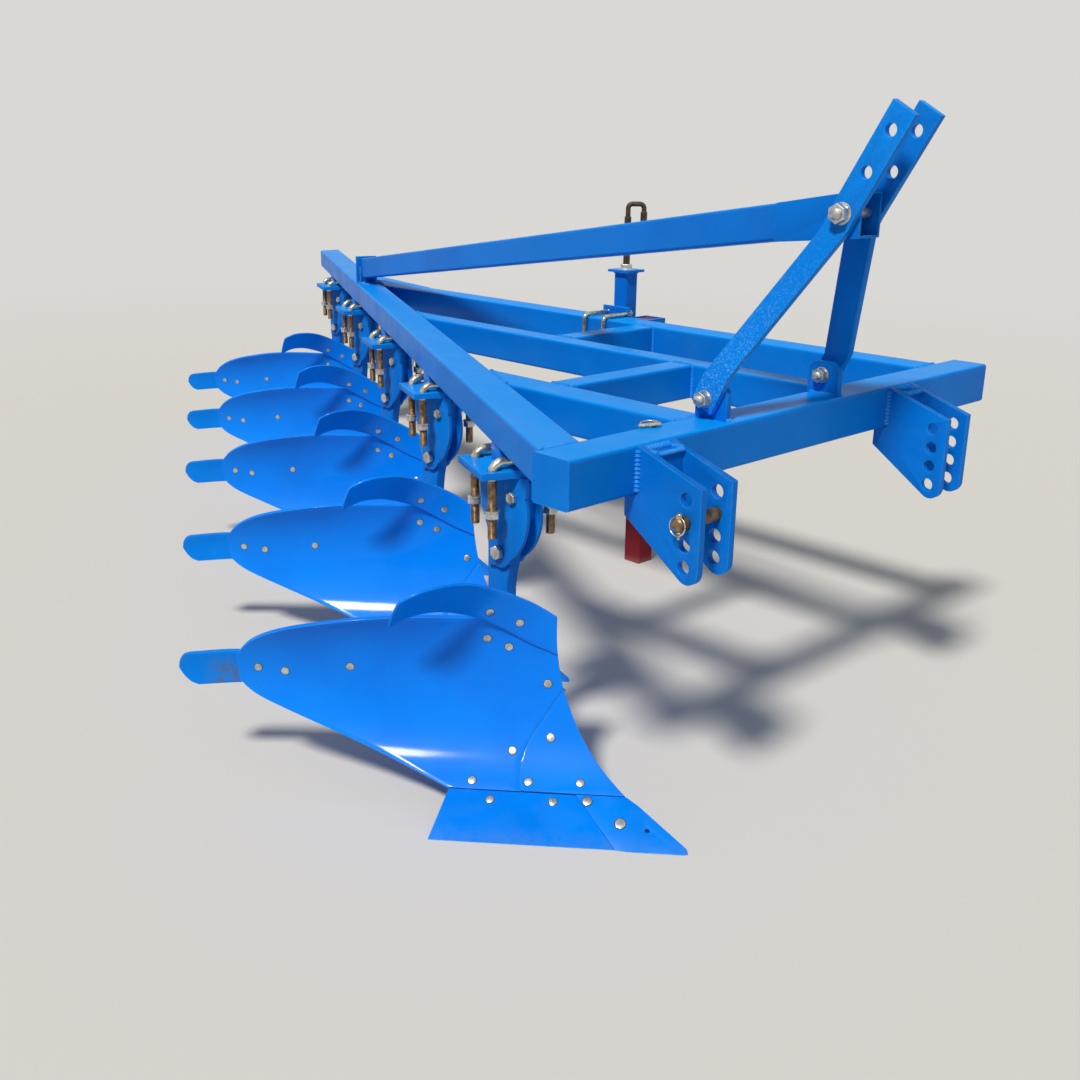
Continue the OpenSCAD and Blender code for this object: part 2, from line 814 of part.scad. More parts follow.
module clamps() {
    nose = 44;
    color(blue)
        for (k = [0 : bodies - 1]) {
            at_clamp(k)
                difference() {
                    union() {
                        translate([-clamp_l / 2, -clamp_w / 2, plate_top - clamp_t])
                            cube([clamp_l, clamp_w, clamp_t]);
                        translate([-30, -diagonal_width / 2 + 10, plate_top])
                            cube([60, diagonal_width - 20, clamp_neck]);
                    }
                    // Slots that the bends of the rods start in
                    for (x = [-rod_pitch / 2, rod_pitch / 2])
                        for (s = [-1, 1])
                            translate([x, s * rod_y, plate_top - 2 * clamp_t])
                                linear_extrude(3 * clamp_t)
                                    union() {
                                        circle(d = rod_d + 2);
                                        translate([-rod_d / 2 - 1, s > 0 ? -10 : 0])
                                            square([rod_d + 2, 10]);
                                        translate([0, -s * 10])
                                            circle(d = rod_d + 2);
                                    }
                }
            translate([body_at[k][0], body_at[k][1], 0])
                for (y = [cheek_right, cheek_left])
                    side_plate(y, cheek_t)
                        translate([leg_axis - body_x, 0])
                            cheek_outline();
        }
}

// Clamp cheek seen from the side, from the leg's axis and the ground
module cheek_outline() {
    eye = 36;
    rear = -68;
    bow = 132;
    bow_at = [-42, pivot_z + 95];
    under = plate_top - clamp_t;
    shoulder = pivot_z + 142;
    difference() {
        union() {
            intersection() {
                translate(bow_at)
                    circle(r = bow);
                polygon([[rear, under], [rear + 10, bow_at[1]], [-eye - 1, pivot_z + 44], [-eye, pivot_z], [-eye, 0],
                    [bow, 0], [bow, under]]);
            }
            translate([rear + 14, shoulder])
                square([72 - rear, under - shoulder]);
            translate([0, pivot_z])
                circle(r = eye);
        }
        for (b = leg_bolts)
            translate([b[0], b[1]])
                circle(d = b[2] + 0.2);
    }
}

// A bolt rod bent over at both ends of its crown: legs at -half and half, crown on z = 0
module bent_rod(half, leg, d, bend) {
    for (s = [-1, 1]) {
        translate([0, s * half, -leg])
            cylinder(d = d, h = leg);
        translate([0, s * (half - bend), 0])
            rotate([90, 0, 90])
                rotate([0, 0, s > 0 ? 0 : 90])
                    rotate_extrude(angle = 90)
                        translate([bend, 0])
                            circle(d = d);
    }
    translate([0, -half + bend, bend])
        rotate([-90, 0, 0])
            cylinder(d = d, h = 2 * (half - bend));
}

module clamp_rods() {
    color([0.5, 0.36, 0.2])
        for (k = [0 : bodies - 1])
            at_clamp(k)
                for (x = [-rod_pitch / 2, rod_pitch / 2]) {
                    translate([x, 0, plate_top + crown_z - 26])
                        bent_rod(rod_y, rod_leg - 26, rod_d, 26);
                    for (s = [-1, 1])
                        translate([x, s * rod_y, plate_top - clamp_t - 92])
                            cylinder(d = 34, h = 18, $fn = 6);
                }
}

module clamp_bolts() {
    y0 = leg_right - seat - cheek_t;
    y1 = leg_right + leg_t + seat + cheek_t;
    color("silver")
        for (k = [0 : bodies - 1])
            on_body(k)
                for (b = leg_bolts) {
                    x = leg_axis + b[0];
                    head = b[2] * 0.65;
                    cross_rod(x, b[1], b[2], y0 - head + 1, y1 + b[2]);
                    hex_y(x, b[1], b[3], y0 - head, head - seat);
                    hex_y(x, b[1], b[3], y1 + seat, 0.8 * b[2]);
                }
}

// Stand and jack

jack_plate = 10;
jack_y = left_beam_at + jack_plate + sleeve_side / 2;
stand_y = left_beam_at + stand_side / 2 + socket_play + socket_wall;

module jack_bracket() {
    tall = long_depth + 60;
    color(blue)
        difference() {
            translate([-jack_at - 64, left_beam_at, top_z - long_depth - 30])
                cube([116, jack_plate, tall]);
            for (x = [-jack_rod_pitch / 2, jack_rod_pitch / 2])
                for (z = [top_z + jack_rod_d / 2 + 2.5, top_z - long_depth - jack_rod_d / 2 - 2.5])
                    cross_rod(-jack_at + x, z, jack_rod_d + 1, 0, 2000);
        }
}

module jack_rods() {
    rise = long_depth / 2 + jack_rod_d / 2 + 2.5;
    inner = left_beam_at - left_beam_w;
    color([0.3, 0.25, 0.2])
        for (x = [-jack_rod_pitch / 2, jack_rod_pitch / 2])
            translate([-jack_at + x, inner - 2.5 - jack_rod_d / 2 + 14, top_z - long_depth / 2])
                rotate([90, 0, 0])
                    bent_rod(rise, left_beam_w + jack_plate + 2, jack_rod_d, 14);
}

// Section of a square tube with its middle at the origin
module square_tube(side, r) {
    translate([-side / 2, -side / 2])
        tube_section(side, side, r);
}

module jack_sleeve() {
    low = 200;
    flange = 86;
    color(blue)
        translate([-jack_at, jack_y + seat, top_z]) {
            translate([0, 0, -low])
                linear_extrude(low + sleeve_up - 8)
                    difference() {
                        square_tube(sleeve_side, 6);
                        square_tube(sleeve_side - 2 * sleeve_wall, 2);
                    }
            difference() {
                translate([-flange / 2, -flange / 2, sleeve_up - 8])
                    cube([flange, flange, 8]);
                translate([0, 0, sleeve_up - 9])
                    cylinder(d = screw_d + 2, h = 10);
            }
        }
}

module jack_screw() {
    crank_up = 360;
    arm = 52;
    grip = 120;
    color([0.25, 0.22, 0.2])
        translate([-jack_at, jack_y + seat, top_z]) {
            translate([0, 0, -150])
                cylinder(d = screw_d, h = 150 + crank_up);
            translate([0, 0, sleeve_up + seat])
                cylinder(d = 34, h = 18, $fn = 6);
            translate([0, 0, crank_up])
                sphere(d = screw_d);
            translate([0, 0, crank_up])
                rotate([0, 90, 46])
                    cylinder(d = 16, h = arm);
            rotate([0, 0, 46])
                translate([arm, 0, crank_up - grip + 8])
                    cylinder(d = 16, h = grip);
        }
}

module stand_socket() {
    outer = stand_side + 2 * (socket_play + socket_wall);
    inner = stand_side + 2 * socket_play;
    tall = 90;
    color(blue)
        translate([-stand_at, stand_y, top_z - tall])
            difference() {
                translate([-outer / 2, -outer / 2, 0])
                    cube([outer, outer, tall]);
                translate([-inner / 2, -inner / 2, -1])
                    cube([inner, inner, tall + 2]);
                translate([0, 0, tall / 2])
                    rotate([-90, 0, 0])
                        cylinder(d = 16.2, h = outer);
            }
}

module stand_screw() {
    start = stand_y + stand_side / 2 + seat;
    z = top_z - 45;
    color("silver") {
        cross_rod(-stand_at, z, 16, start, start + 62);
        translate([-stand_at - 55, start + 54, z])
            rotate([0, 90, 0])
                cylinder(d = 10, h = 110);
    }
}

module stand_leg() {
    color("firebrick")
        translate([-stand_at, stand_y, 0])
            linear_extrude(top_z - 4)
                square_tube(stand_side, 5);
}

place() cross_beam();
place() diagonal_beam();
place() left_beam();
place() middle_beam();
place() right_beam();
place() cross_members();
place() hitch_clevis_right();
place() hitch_clevis_left();
place() hitch_pin();
place() mast_bar_right();
place() mast_bar_left();
place() mast_lugs();
place() mast_bolts();
place() brace_head();
place() brace_tube();
place() brace_lug();
place() moldboard(0);  // moldboard_1
place() moldboard(1);  // moldboard_2
place() moldboard(2);  // moldboard_3
place() moldboard(3);  // moldboard_4
place() moldboard(4);  // moldboard_5
place() share(0);  // share_1
place() share(1);  // share_2
place() share(2);  // share_3
place() share(3);  // share_4
place() share(4);  // share_5
place() legs();
place() frogs();
place() landsides();
place() share_points();
place() shins();
place() trashboards();
place() tail_strips();
place() stays();
place() clamps();
place() clamp_rods();
place() clamp_bolts();
place() jack_bracket();
place() jack_rods();
place() jack_sleeve();
place() jack_screw();
place() stand_socket();
place() stand_screw();
place() stand_leg();
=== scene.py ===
import bpy
import math
from mathutils import Matrix, Vector


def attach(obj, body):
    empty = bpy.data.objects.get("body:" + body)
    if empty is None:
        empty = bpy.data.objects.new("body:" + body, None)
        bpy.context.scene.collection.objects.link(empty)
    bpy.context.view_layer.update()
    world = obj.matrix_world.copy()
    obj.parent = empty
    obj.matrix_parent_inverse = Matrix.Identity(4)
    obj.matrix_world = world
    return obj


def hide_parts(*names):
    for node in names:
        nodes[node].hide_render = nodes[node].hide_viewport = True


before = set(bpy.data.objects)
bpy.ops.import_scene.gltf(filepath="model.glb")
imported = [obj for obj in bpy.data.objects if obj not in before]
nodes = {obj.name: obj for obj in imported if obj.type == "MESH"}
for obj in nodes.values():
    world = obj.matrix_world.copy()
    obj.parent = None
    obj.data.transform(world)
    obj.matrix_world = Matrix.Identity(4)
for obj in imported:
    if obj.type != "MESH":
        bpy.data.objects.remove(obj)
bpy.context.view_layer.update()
bpy.ops.object.select_all(action="DESELECT")
print("frame loaded:", len(nodes), "nodes")

mm = 0.001
# the drawing starts at the cross beam's front face and the hitch's middle, in mm
drawingStart = Vector((1832.0, -205.42, 0))


def row(x, y, z):  # a spot of the drawing, mm -> m in the row frame
    return (Vector((x, y, z)) + drawingStart) * mm


def pick(obj):
    bpy.ops.object.select_all(action="DESELECT")
    obj.select_set(True)
    bpy.context.view_layer.objects.active = obj


def startEdit(obj):
    pick(obj)
    bpy.ops.object.mode_set(mode="EDIT")
    bpy.ops.mesh.select_all(action="SELECT")


def endEdit():
    bpy.ops.object.mode_set(mode="OBJECT")


def applyAll(obj):
    pick(obj)
    for modifier in list(obj.modifiers):
        bpy.ops.object.modifier_apply(modifier=modifier.name)


def ease(obj, width, degrees):  # rounds the hard edges, width in mm
    bevel = obj.modifiers.new("easedEdges", "BEVEL")
    bevel.width = width * mm
    bevel.segments = 2
    bevel.limit_method = "ANGLE"
    bevel.angle_limit = math.radians(degrees)
    applyAll(obj)


def smooth(obj, degrees):
    pick(obj)
    bpy.ops.object.shade_smooth_by_angle(angle=math.radians(degrees))


def closeUp(obj):  # merges doubles, closes open ends and turns the faces outwards
    startEdit(obj)
    bpy.ops.mesh.remove_doubles(threshold=0.00002)
    bpy.ops.mesh.fill_holes(sides=0)
    bpy.ops.mesh.normals_make_consistent(inside=False)
    endEdit()


def joined(parts, name):
    bpy.ops.object.select_all(action="DESELECT")
    for part in parts:
        part.select_set(True)
    bpy.context.view_layer.objects.active = parts[0]
    if len(parts) > 1:
        bpy.ops.object.join()
    piece = bpy.context.view_layer.objects.active
    piece.name = name
    piece.data.name = name
    return piece


def copied(master, places, name, keep=False):  # one mesh per place, joined to one piece
    twins = []
    for place in places:
        twin = master.copy()
        twin.data = master.data.copy()
        twin.data.transform(place)
        bpy.context.collection.objects.link(twin)
        twins.append(twin)
    if not keep:
        bpy.data.objects.remove(master)
    return joined(twins, name)


def moved(x, y, z):  # a shift in mm
    return Matrix.Translation((x * mm, y * mm, z * mm))


def rotated(degrees, axis):
    return Matrix.Rotation(math.radians(degrees), 4, axis)


def pointing(direction, at, spin=0.0):  # turns +Z to the direction and moves it to the spot, m and radians
    turn = Vector(direction).to_track_quat("Z", "Y").to_matrix().to_4x4()
    return Matrix.Translation(at) @ turn @ Matrix.Rotation(spin, 4, "Z")


def dress(obj, body, material, slotName, *stoodFor):
    obj.data.materials.clear()
    obj.data.materials.append(material)
    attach(obj, body)
    if stoodFor:
        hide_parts(*stoodFor)


# paint, plating and dirt


def srgb(code):  # hex colour -> linear
    parts = [int(code[i:i + 2], 16) / 255 for i in (1, 3, 5)]
    return (*[c / 12.92 if c <= 0.04045 else ((c + 0.055) / 1.055) ** 2.4 for c in parts], 1.0)


def addNode(tree, kind, settings=None, sockets=None):  # a socket gets a value or a (node, output) link
    node = tree.nodes.new(kind)
    for key, value in (settings or {}).items():
        setattr(node, key, value)
    for key, value in (sockets or {}).items():
        if isinstance(value, tuple) and hasattr(value[0], "outputs"):
            tree.links.new(value[0].outputs[value[1]], node.inputs[key])
        else:
            node.inputs[key].default_value = value
    return node


def newMaterial(name):
    material = bpy.data.materials.new(name)
    material.use_nodes = True
    tree = material.node_tree
    return material, tree, tree.nodes["Principled BSDF"], addNode(tree, "ShaderNodeTexCoord")


def fade(tree, source, low, high, fromValue=0.0, toValue=1.0):  # low..high of a pattern -> the two values
    return addNode(tree, "ShaderNodeMapRange", {"clamp": True},
                   {"Value": source, "From Min": low, "From Max": high,
                    "To Min": fromValue, "To Max": toValue})


def over(tree, under, top, mask):  # lays the top colour over the other one where the mask is high
    return addNode(tree, "ShaderNodeMix", {"data_type": "RGBA"}, {0: mask, 6: under, 7: top})


def noise(tree, place, sizeMm, detail=5.0, roughness=0.55, distortion=0.0):  # sizeMm: the width of a blob
    return addNode(tree, "ShaderNodeTexNoise", None,
                   {"Vector": (place, "Object"), "Scale": 1000 / sizeMm, "Detail": detail,
                    "Roughness": roughness, "Distortion": distortion})


def product(tree, a, b):
    return addNode(tree, "ShaderNodeMath", {"operation": "MULTIPLY"}, {0: (a, 0), 1: (b, 0)})


def edgeMask(tree, widthMm):  # 1 on the steel's edges, 0 on its faces: how far a rounded normal leans over
    flat = addNode(tree, "ShaderNodeNewGeometry")
    rounded = addNode(tree, "ShaderNodeBevel", {"samples": 4}, {"Radius": widthMm * mm})
    lean = addNode(tree, "ShaderNodeVectorMath", {"operation": "DOT_PRODUCT"},
                   {0: (flat, "Normal"), 1: (rounded, 0)})
    return fade(tree, (lean, "Value"), 0.995, 0.86)


enamel = {
    "base": "#0278d8", "thin": "#2fa2f4", "thick": "#026ac8", "chalk": "#0094f4", "dust": "#7f9fb4",
    "mud": "#9a9384", "bareSteel": "#4a5058", "rubbed": "#56616f", "fleck": "#7cbcf4",
    "cloudMm": 420, "filmMm": 130, "rubMm": 24, "scuffMm": 14, "speckMm": 9, "peelMm": 6, "fleckMm": 5,
    "peelDeepMm": 0.6, "edgeMm": 2.5, "mudHigh": 0.022, "mudLow": 0.004,
    "rough": 0.34, "roughSpread": 0.14, "ior": 1.5, "specular": 0.05, "coatRough": 0.1,
}


def sprayedEnamel(name, base, thin, thick, dustShare, chips=0.0, groundDust=0.0, rubbedSpot=None,
                  flecks=0.0, chalk=None, gloss=0.04):
    # alkyd machine enamel sprayed on steel: even with a faint orange peel, thinner and lighter on sharp
    # edges, with yard dust on it and, on the soil-facing steel, small chips down to the metal; chalk is
    # painted light, the paler tone of faces that look up to the sky, gloss the share of the shiny film on
    # top; the peel is drawn wider and deeper than a real one, so that it shows
    material, tree, shader, place = newMaterial(name)
    cloud = noise(tree, place, enamel["cloudMm"])
    tone = over(tree, srgb(thick), srgb(base), (fade(tree, (cloud, 0), 0.32, 0.6), 0))
    # painted light: faces that look up get a paler tone, as if lit by the sky
    if chalk:
        facing = addNode(tree, "ShaderNodeNewGeometry")
        rise = addNode(tree, "ShaderNodeSeparateXYZ", None, {0: (facing, "Normal")})
        tone = over(tree, (tone, 2), srgb(chalk), (fade(tree, (rise, "Z"), 0.55, 0.95), 0))
    rub = noise(tree, place, enamel["rubMm"], 6.0, 0.7)
    edgeShare = product(tree, edgeMask(tree, enamel["edgeMm"]), fade(tree, (rub, 0), 0.3, 0.6))
    tone = over(tree, (tone, 2), srgb(thin), (edgeShare, 0))
    film = noise(tree, place, enamel["filmMm"], 6.0, 0.6)
    speck = noise(tree, place, enamel["speckMm"], 8.0, 0.7)
    dustMask = fade(tree, (product(tree, film, speck), 0), 0.24, 0.5, 0.0, dustShare)
    tone = over(tree, (tone, 2), srgb(enamel["dust"]), (dustMask, 0))
    if groundDust:
        height = addNode(tree, "ShaderNodeSeparateXYZ", None, {0: (place, "Object")})
        low = fade(tree, (height, "Z"), enamel["mudHigh"], enamel["mudLow"], 0.0, groundDust)
        mud = product(tree, low, fade(tree, (rub, 0), 0.3, 0.6))
        tone = over(tree, (tone, 2), srgb(enamel["mud"]), (mud, 0))
    if chips:
        scuff = noise(tree, place, enamel["scuffMm"], 10.0, 0.8, 1.4)
        bare = fade(tree, (scuff, 0), 0.72 - chips, 0.75 - chips)
        tone = over(tree, (tone, 2), srgb(enamel["bareSteel"]), (bare, 0))
    if rubbedSpot:  # one place rubbed dull and brown, given by its spot and its reach in m
        spot, reach = rubbedSpot
        away = addNode(tree, "ShaderNodeVectorMath", {"operation": "DISTANCE"},
                       {0: (place, "Object"), 1: spot})
        near = fade(tree, (away, "Value"), reach, reach * 0.4)
        worn = product(tree, near, fade(tree, (rub, 0), 0.36, 0.62, 0.0, 0.75))
        tone = over(tree, (tone, 2), srgb(enamel["rubbed"]), (worn, 0))
    if flecks:  # painted glints: bright flecks on the crests of the peel that stand in for sun glints, thickest towards the foot
        height = addNode(tree, "ShaderNodeSeparateXYZ", None, {0: (place, "Object")})
        crest = fade(tree, (noise(tree, place, enamel["fleckMm"], 3.0, 0.6), 0), 0.52, 0.66, 0.0, flecks)
        lower = product(tree, crest, fade(tree, (height, "Z"), 1.2, 0.93, 0.15, 1.0))
        tone = over(tree, (tone, 2), srgb(enamel["fleck"]), (lower, 0))
    tree.links.new(tone.outputs[2], shader.inputs["Base Color"])
    sheen = fade(tree, (film, 0), 0.35, 0.7, enamel["rough"], enamel["rough"] + enamel["roughSpread"])
    tree.links.new(sheen.outputs[0], shader.inputs["Roughness"])
    peel = noise(tree, place, enamel["peelMm"], 2.0)
    bump = addNode(tree, "ShaderNodeBump", None,
                   {"Strength": 0.3, "Distance": enamel["peelDeepMm"] * mm, "Height": (peel, 0)})
    tree.links.new(bump.outputs[0], shader.inputs["Normal"])
    shader.inputs["IOR"].default_value = enamel["ior"]
    shader.inputs["Specular IOR Level"].default_value = enamel["specular"]
    shader.inputs["Coat Weight"].default_value = gloss
    shader.inputs["Coat Roughness"].default_value = enamel["coatRough"]
    return material


plating = {"cloudMm": 16, "spotMm": 6, "edgeMm": 0.8, "grainDeepMm": 0.3}


def platedSteel(name, bright, dull, rust, rustShare, rough, grainMm, metallic):
    # electroplated or oiled steel: a cloudy film in two tones, brown spots where it has gone, and the
    # grain left by rolling and by the cutting of the threads, drawn coarser than real so that it shows
    material, tree, shader, place = newMaterial(name)
    cloud = noise(tree, place, plating["cloudMm"], 8.0, 0.65)
    tone = over(tree, srgb(dull), srgb(bright), (fade(tree, (cloud, 0), 0.38, 0.6), 0))
    tone = over(tree, (tone, 2), srgb(bright), (edgeMask(tree, plating["edgeMm"]), 0))
    spot = noise(tree, place, plating["spotMm"], 9.0, 0.75, 0.6)
    rusty = fade(tree, (spot, 0), 0.66 - rustShare * 0.3, 0.78 - rustShare * 0.3)
    tone = over(tree, (tone, 2), srgb(rust), (rusty, 0))
    tree.links.new(tone.outputs[2], shader.inputs["Base Color"])
    shine = fade(tree, (rusty, 0), 0.0, 1.0, metallic, metallic * 0.45)
    tree.links.new(shine.outputs[0], shader.inputs["Metallic"])
    grain = noise(tree, place, grainMm, 6.0)
    roughness = fade(tree, (grain, 0), 0.3, 0.7, rough - 0.08, rough + 0.14)
    tree.links.new(roughness.outputs[0], shader.inputs["Roughness"])
    bump = addNode(tree, "ShaderNodeBump", None,
                   {"Strength": 0.35, "Distance": plating["grainDeepMm"] * mm, "Height": (grain, 0)})
    tree.links.new(bump.outputs[0], shader.inputs["Normal"])
    return material


# beams and plates: even blue, with painted light: paler on the faces that look up
frameEnamel = sprayedEnamel("sprayedBlueEnamel", enamel["base"], enamel["thin"], enamel["thick"],
                            dustShare=0.05, chalk=enamel["chalk"])
# boards and shares: the brightest coat, with a streak of shine; the shares a little scuffed and dusty
boardEnamel = sprayedEnamel("blueEnamelOnBoards", "#0182f4", "#3aa8fa", "#0172e2",
                            dustShare=0.03, groundDust=0.04, gloss=0.18)
shareEnamel = sprayedEnamel("scuffedEnamelOnShares", "#0184f4", "#3aa8fa", "#0174de",
                            dustShare=0.04, chips=0.004, groundDust=0.1, gloss=0.2)
# tail strips: dusty and scratched, the first one rubbed dull near its board
stripEnamel = sprayedEnamel("scratchedEnamelOnStrips", "#0180ea", "#3a9cf2", "#016fd0",
                            dustShare=0.1, chips=0.02, rubbedSpot=(row(-781, -992, 250), 0.055))
# clevises: a deeper blue that is painted shade, and chipped where they are knocked in coupling
hitchShadedEnamel = sprayedEnamel("chippedEnamelOnHitch", "#0270d0", "#3aa4f2", "#0262be",
                            dustShare=0.08, chips=0.02)
# right mast bar: painted glints, bright flecks on its peel that stand in for the sun's glints
glintEnamel = sprayedEnamel("coarseOrangePeel", "#0282e4", "#2fa2f4", "#0274d4",
                             dustShare=0.05, flecks=0.5)
# welds: painted highlight, a lighter blue on the crest of each ripple
weldEnamel = sprayedEnamel("enamelOverWelds", "#0284e2", "#62b2f0", "#0270ce",
                           dustShare=0.3, chips=0.01)
# the stand's leg: brick red and dull, dusty at its foot
legOxide = sprayedEnamel("redOxidePrimer", "#8a2730", "#a04048", "#74202a",
                         dustShare=0.06, groundDust=0.3)
# bolts and nuts: bright and cloudy
zincPlate = platedSteel("brightZincPlate", "#d5d6d2", "#a6a7a3", "#7d6a50",
                        rustShare=0.12, rough=0.3, grainMm=1.6, metallic=0.85)
# crowns of the clamp rods, jack rods and lynch pins: a pale gold shine
crownZinc = platedSteel("goldenZincPlate", "#e2dac6", "#a2977c", "#6a563a",
                        rustShare=0.12, rough=0.2, grainMm=1.6, metallic=0.9)
# the rods' legs and the hitch pin: the yellow has gone brown and dull
yellowZinc = platedSteel("yellowZincGoneBrown", "#967b5a", "#5f4a35", "#4a2f1a",
                         rustShare=0.35, rough=0.42, grainMm=1.2, metallic=0.7)
# the jack's screw: nearly black, with brown spots
darkSteel = platedSteel("oiledBlackSteel", "#55493c", "#2f2925", "#6a4a30",
                        rustShare=0.3, rough=0.48, grainMm=1.4, metallic=0.6)
# painted shade: a dark, matt line in the joint between shin and moldboard and round a bolt's head
jointShade = platedSteel("dirtInTheJoint", "#23313f", "#141d28", "#2b2622",
                        rustShare=0.2, rough=0.8, grainMm=1.2, metallic=0.0)
print("paint and plating ready")

slotFinish = {"blue_paint": frameEnamel, "red_paint": legOxide, "zinc": zincPlate,
              "yellow_zinc": yellowZinc, "dark_steel": darkSteel}
ownFinish = {"share_points": shareEnamel, "tail_strips": stripEnamel, "shins": boardEnamel,
             "trashboards": boardEnamel, "landsides": shareEnamel, "hitch_clevis_right": hitchShadedEnamel,
             "hitch_clevis_left": hitchShadedEnamel, "mast_bar_right": glintEnamel}
for name, node in nodes.items():
    finish = ownFinish.get(name)
    if name.startswith("moldboard_"):
        finish = boardEnamel
    if name.startswith("share_") and name != "share_points":
        finish = shareEnamel
    if finish is None:
        finish = slotFinish[node.data.materials[0].name.split(".")[0]]
    node.data.materials.clear()
    node.data.materials.append(finish)

# plates keep their drawn shape and get the small round edges that grinding and paint leave

easedPlates = {  # node and the width of its round edges, mm
    "hitch_clevis_right": 1.4, "hitch_clevis_left": 1.4, "mast_bar_right": 1.6, "mast_bar_left": 1.6,
    "mast_lugs": 1.2, "brace_head": 1.6, "brace_lug": 1.2, "clamps": 1.3, "legs": 1.4,
    "share_1": 0.9, "share_2": 0.9, "share_3": 0.9, "share_4": 0.9, "share_5": 0.9, "share_points": 0.5,
    "jack_bracket": 1.2, "landsides": 1.2, "frogs": 1.2, "stays": 1.0, "left_beam": 1.0,
}
flatWithin, edgeFrom = 0.6, 32  # degrees between two faces of one flat, and from where they meet at an edge
for name, width in easedPlates.items():
    plate = nodes[name].copy()
    plate.data = nodes[name].data.copy()
    plate.parent = None
    plate.matrix_world = Matrix.Identity(4)
    bpy.context.collection.objects.link(plate)
    startEdit(plate)
    bpy.ops.mesh.remove_doubles(threshold=0.00001)
    bpy.ops.mesh.dissolve_limited(angle_limit=math.radians(flatWithin))
    endEdit()
    ease(plate, width, edgeFrom)
    smooth(plate, edgeFrom)
    words = name.split("_")
    plate.name = words[0] + "".join(w.capitalize() for w in words[1:]) + "Eased"
    plate.data.name = plate.name
    finish = nodes[name].data.materials[0]
    dress(plate, "plough", finish, "blue_paint", name)
print("plates eased:", len(easedPlates))

# the working face of a plough body, in mm from the body's own reference point

face = {
    "shareAngle": 41.8, "shareHeight": 64, "sharePitch": 31, "edgeX": 380,
    "kneeBack": 249, "kneeHeight": 149, "boardTop": 420,
    "twist": 11, "twistFrom": 145, "twistSpan": 290, "curl": 55, "curlFrom": 360, "curlPower": 2.4,
    "trashLift": 6.3, "pointProud": 2,
}
bodies = {"count": 5, "pitch": 764, "x": 241, "y": 482, "diagonalAngle": 28.1}
rowSlope = math.tan(math.radians(bodies["diagonalAngle"]))  # how far the row of bodies steps aside


def backAt(h):
    run = 1 / math.tan(math.radians(face["sharePitch"]))
    if h <= face["shareHeight"]:
        return h * run
    if h >= face["boardTop"]:
        return face["kneeBack"]
    a = face["shareHeight"] - 2 * face["kneeHeight"] + face["boardTop"]
    b = 2 * (face["kneeHeight"] - face["shareHeight"])
    u = (-b + math.sqrt(b * b - 4 * a * (face["shareHeight"] - h))) / (2 * a)
    return (1 - u) ** 2 * face["shareHeight"] * run + (2 * u * (1 - u) + u * u) * face["kneeBack"]


def turnAt(h):
    lift = max(0, h - face["twistFrom"]) / face["twistSpan"]
    return math.radians(face["shareAngle"] + face["twist"] * lift ** 3)


def faceAt(t, h, lift=0.0, curl=False):  # t along the level line, h the height, lift square off the face
    turn = turnAt(h)
    slope = backAt(h + 1) - backAt(h - 1)
    bow = face["curl"] * (max(t, 0) / face["curlFrom"]) ** face["curlPower"] if curl else 0
    off = (lift + bow) * math.sqrt(4 + slope * slope) / 2
    x = face["edgeX"] - backAt(h) / math.sin(math.radians(face["shareAngle"])) - t * math.cos(turn)
    return Vector((x + off * math.sin(turn), -t * math.sin(turn) - off * math.cos(turn), h))


def faceNormal(t, h, curl):
    a = faceAt(t + 4, h, 0, curl) - faceAt(t - 4, h, 0, curl)
    b = faceAt(t, h + 4, 0, curl) - faceAt(t, h - 4, 0, curl)
    n = a.cross(b).normalized()
    return n if n.dot(Vector((1, -1, 0))) > 0 else -n


def bodyPlace(k):
    step = Vector((-bodies["pitch"], bodies["pitch"] * rowSlope, 0)) * k
    return Matrix.Translation((Vector((-bodies["x"], -bodies["y"], 0)) + step + drawingStart) * mm)


allBodies = [bodyPlace(k) for k in range(bodies["count"])]

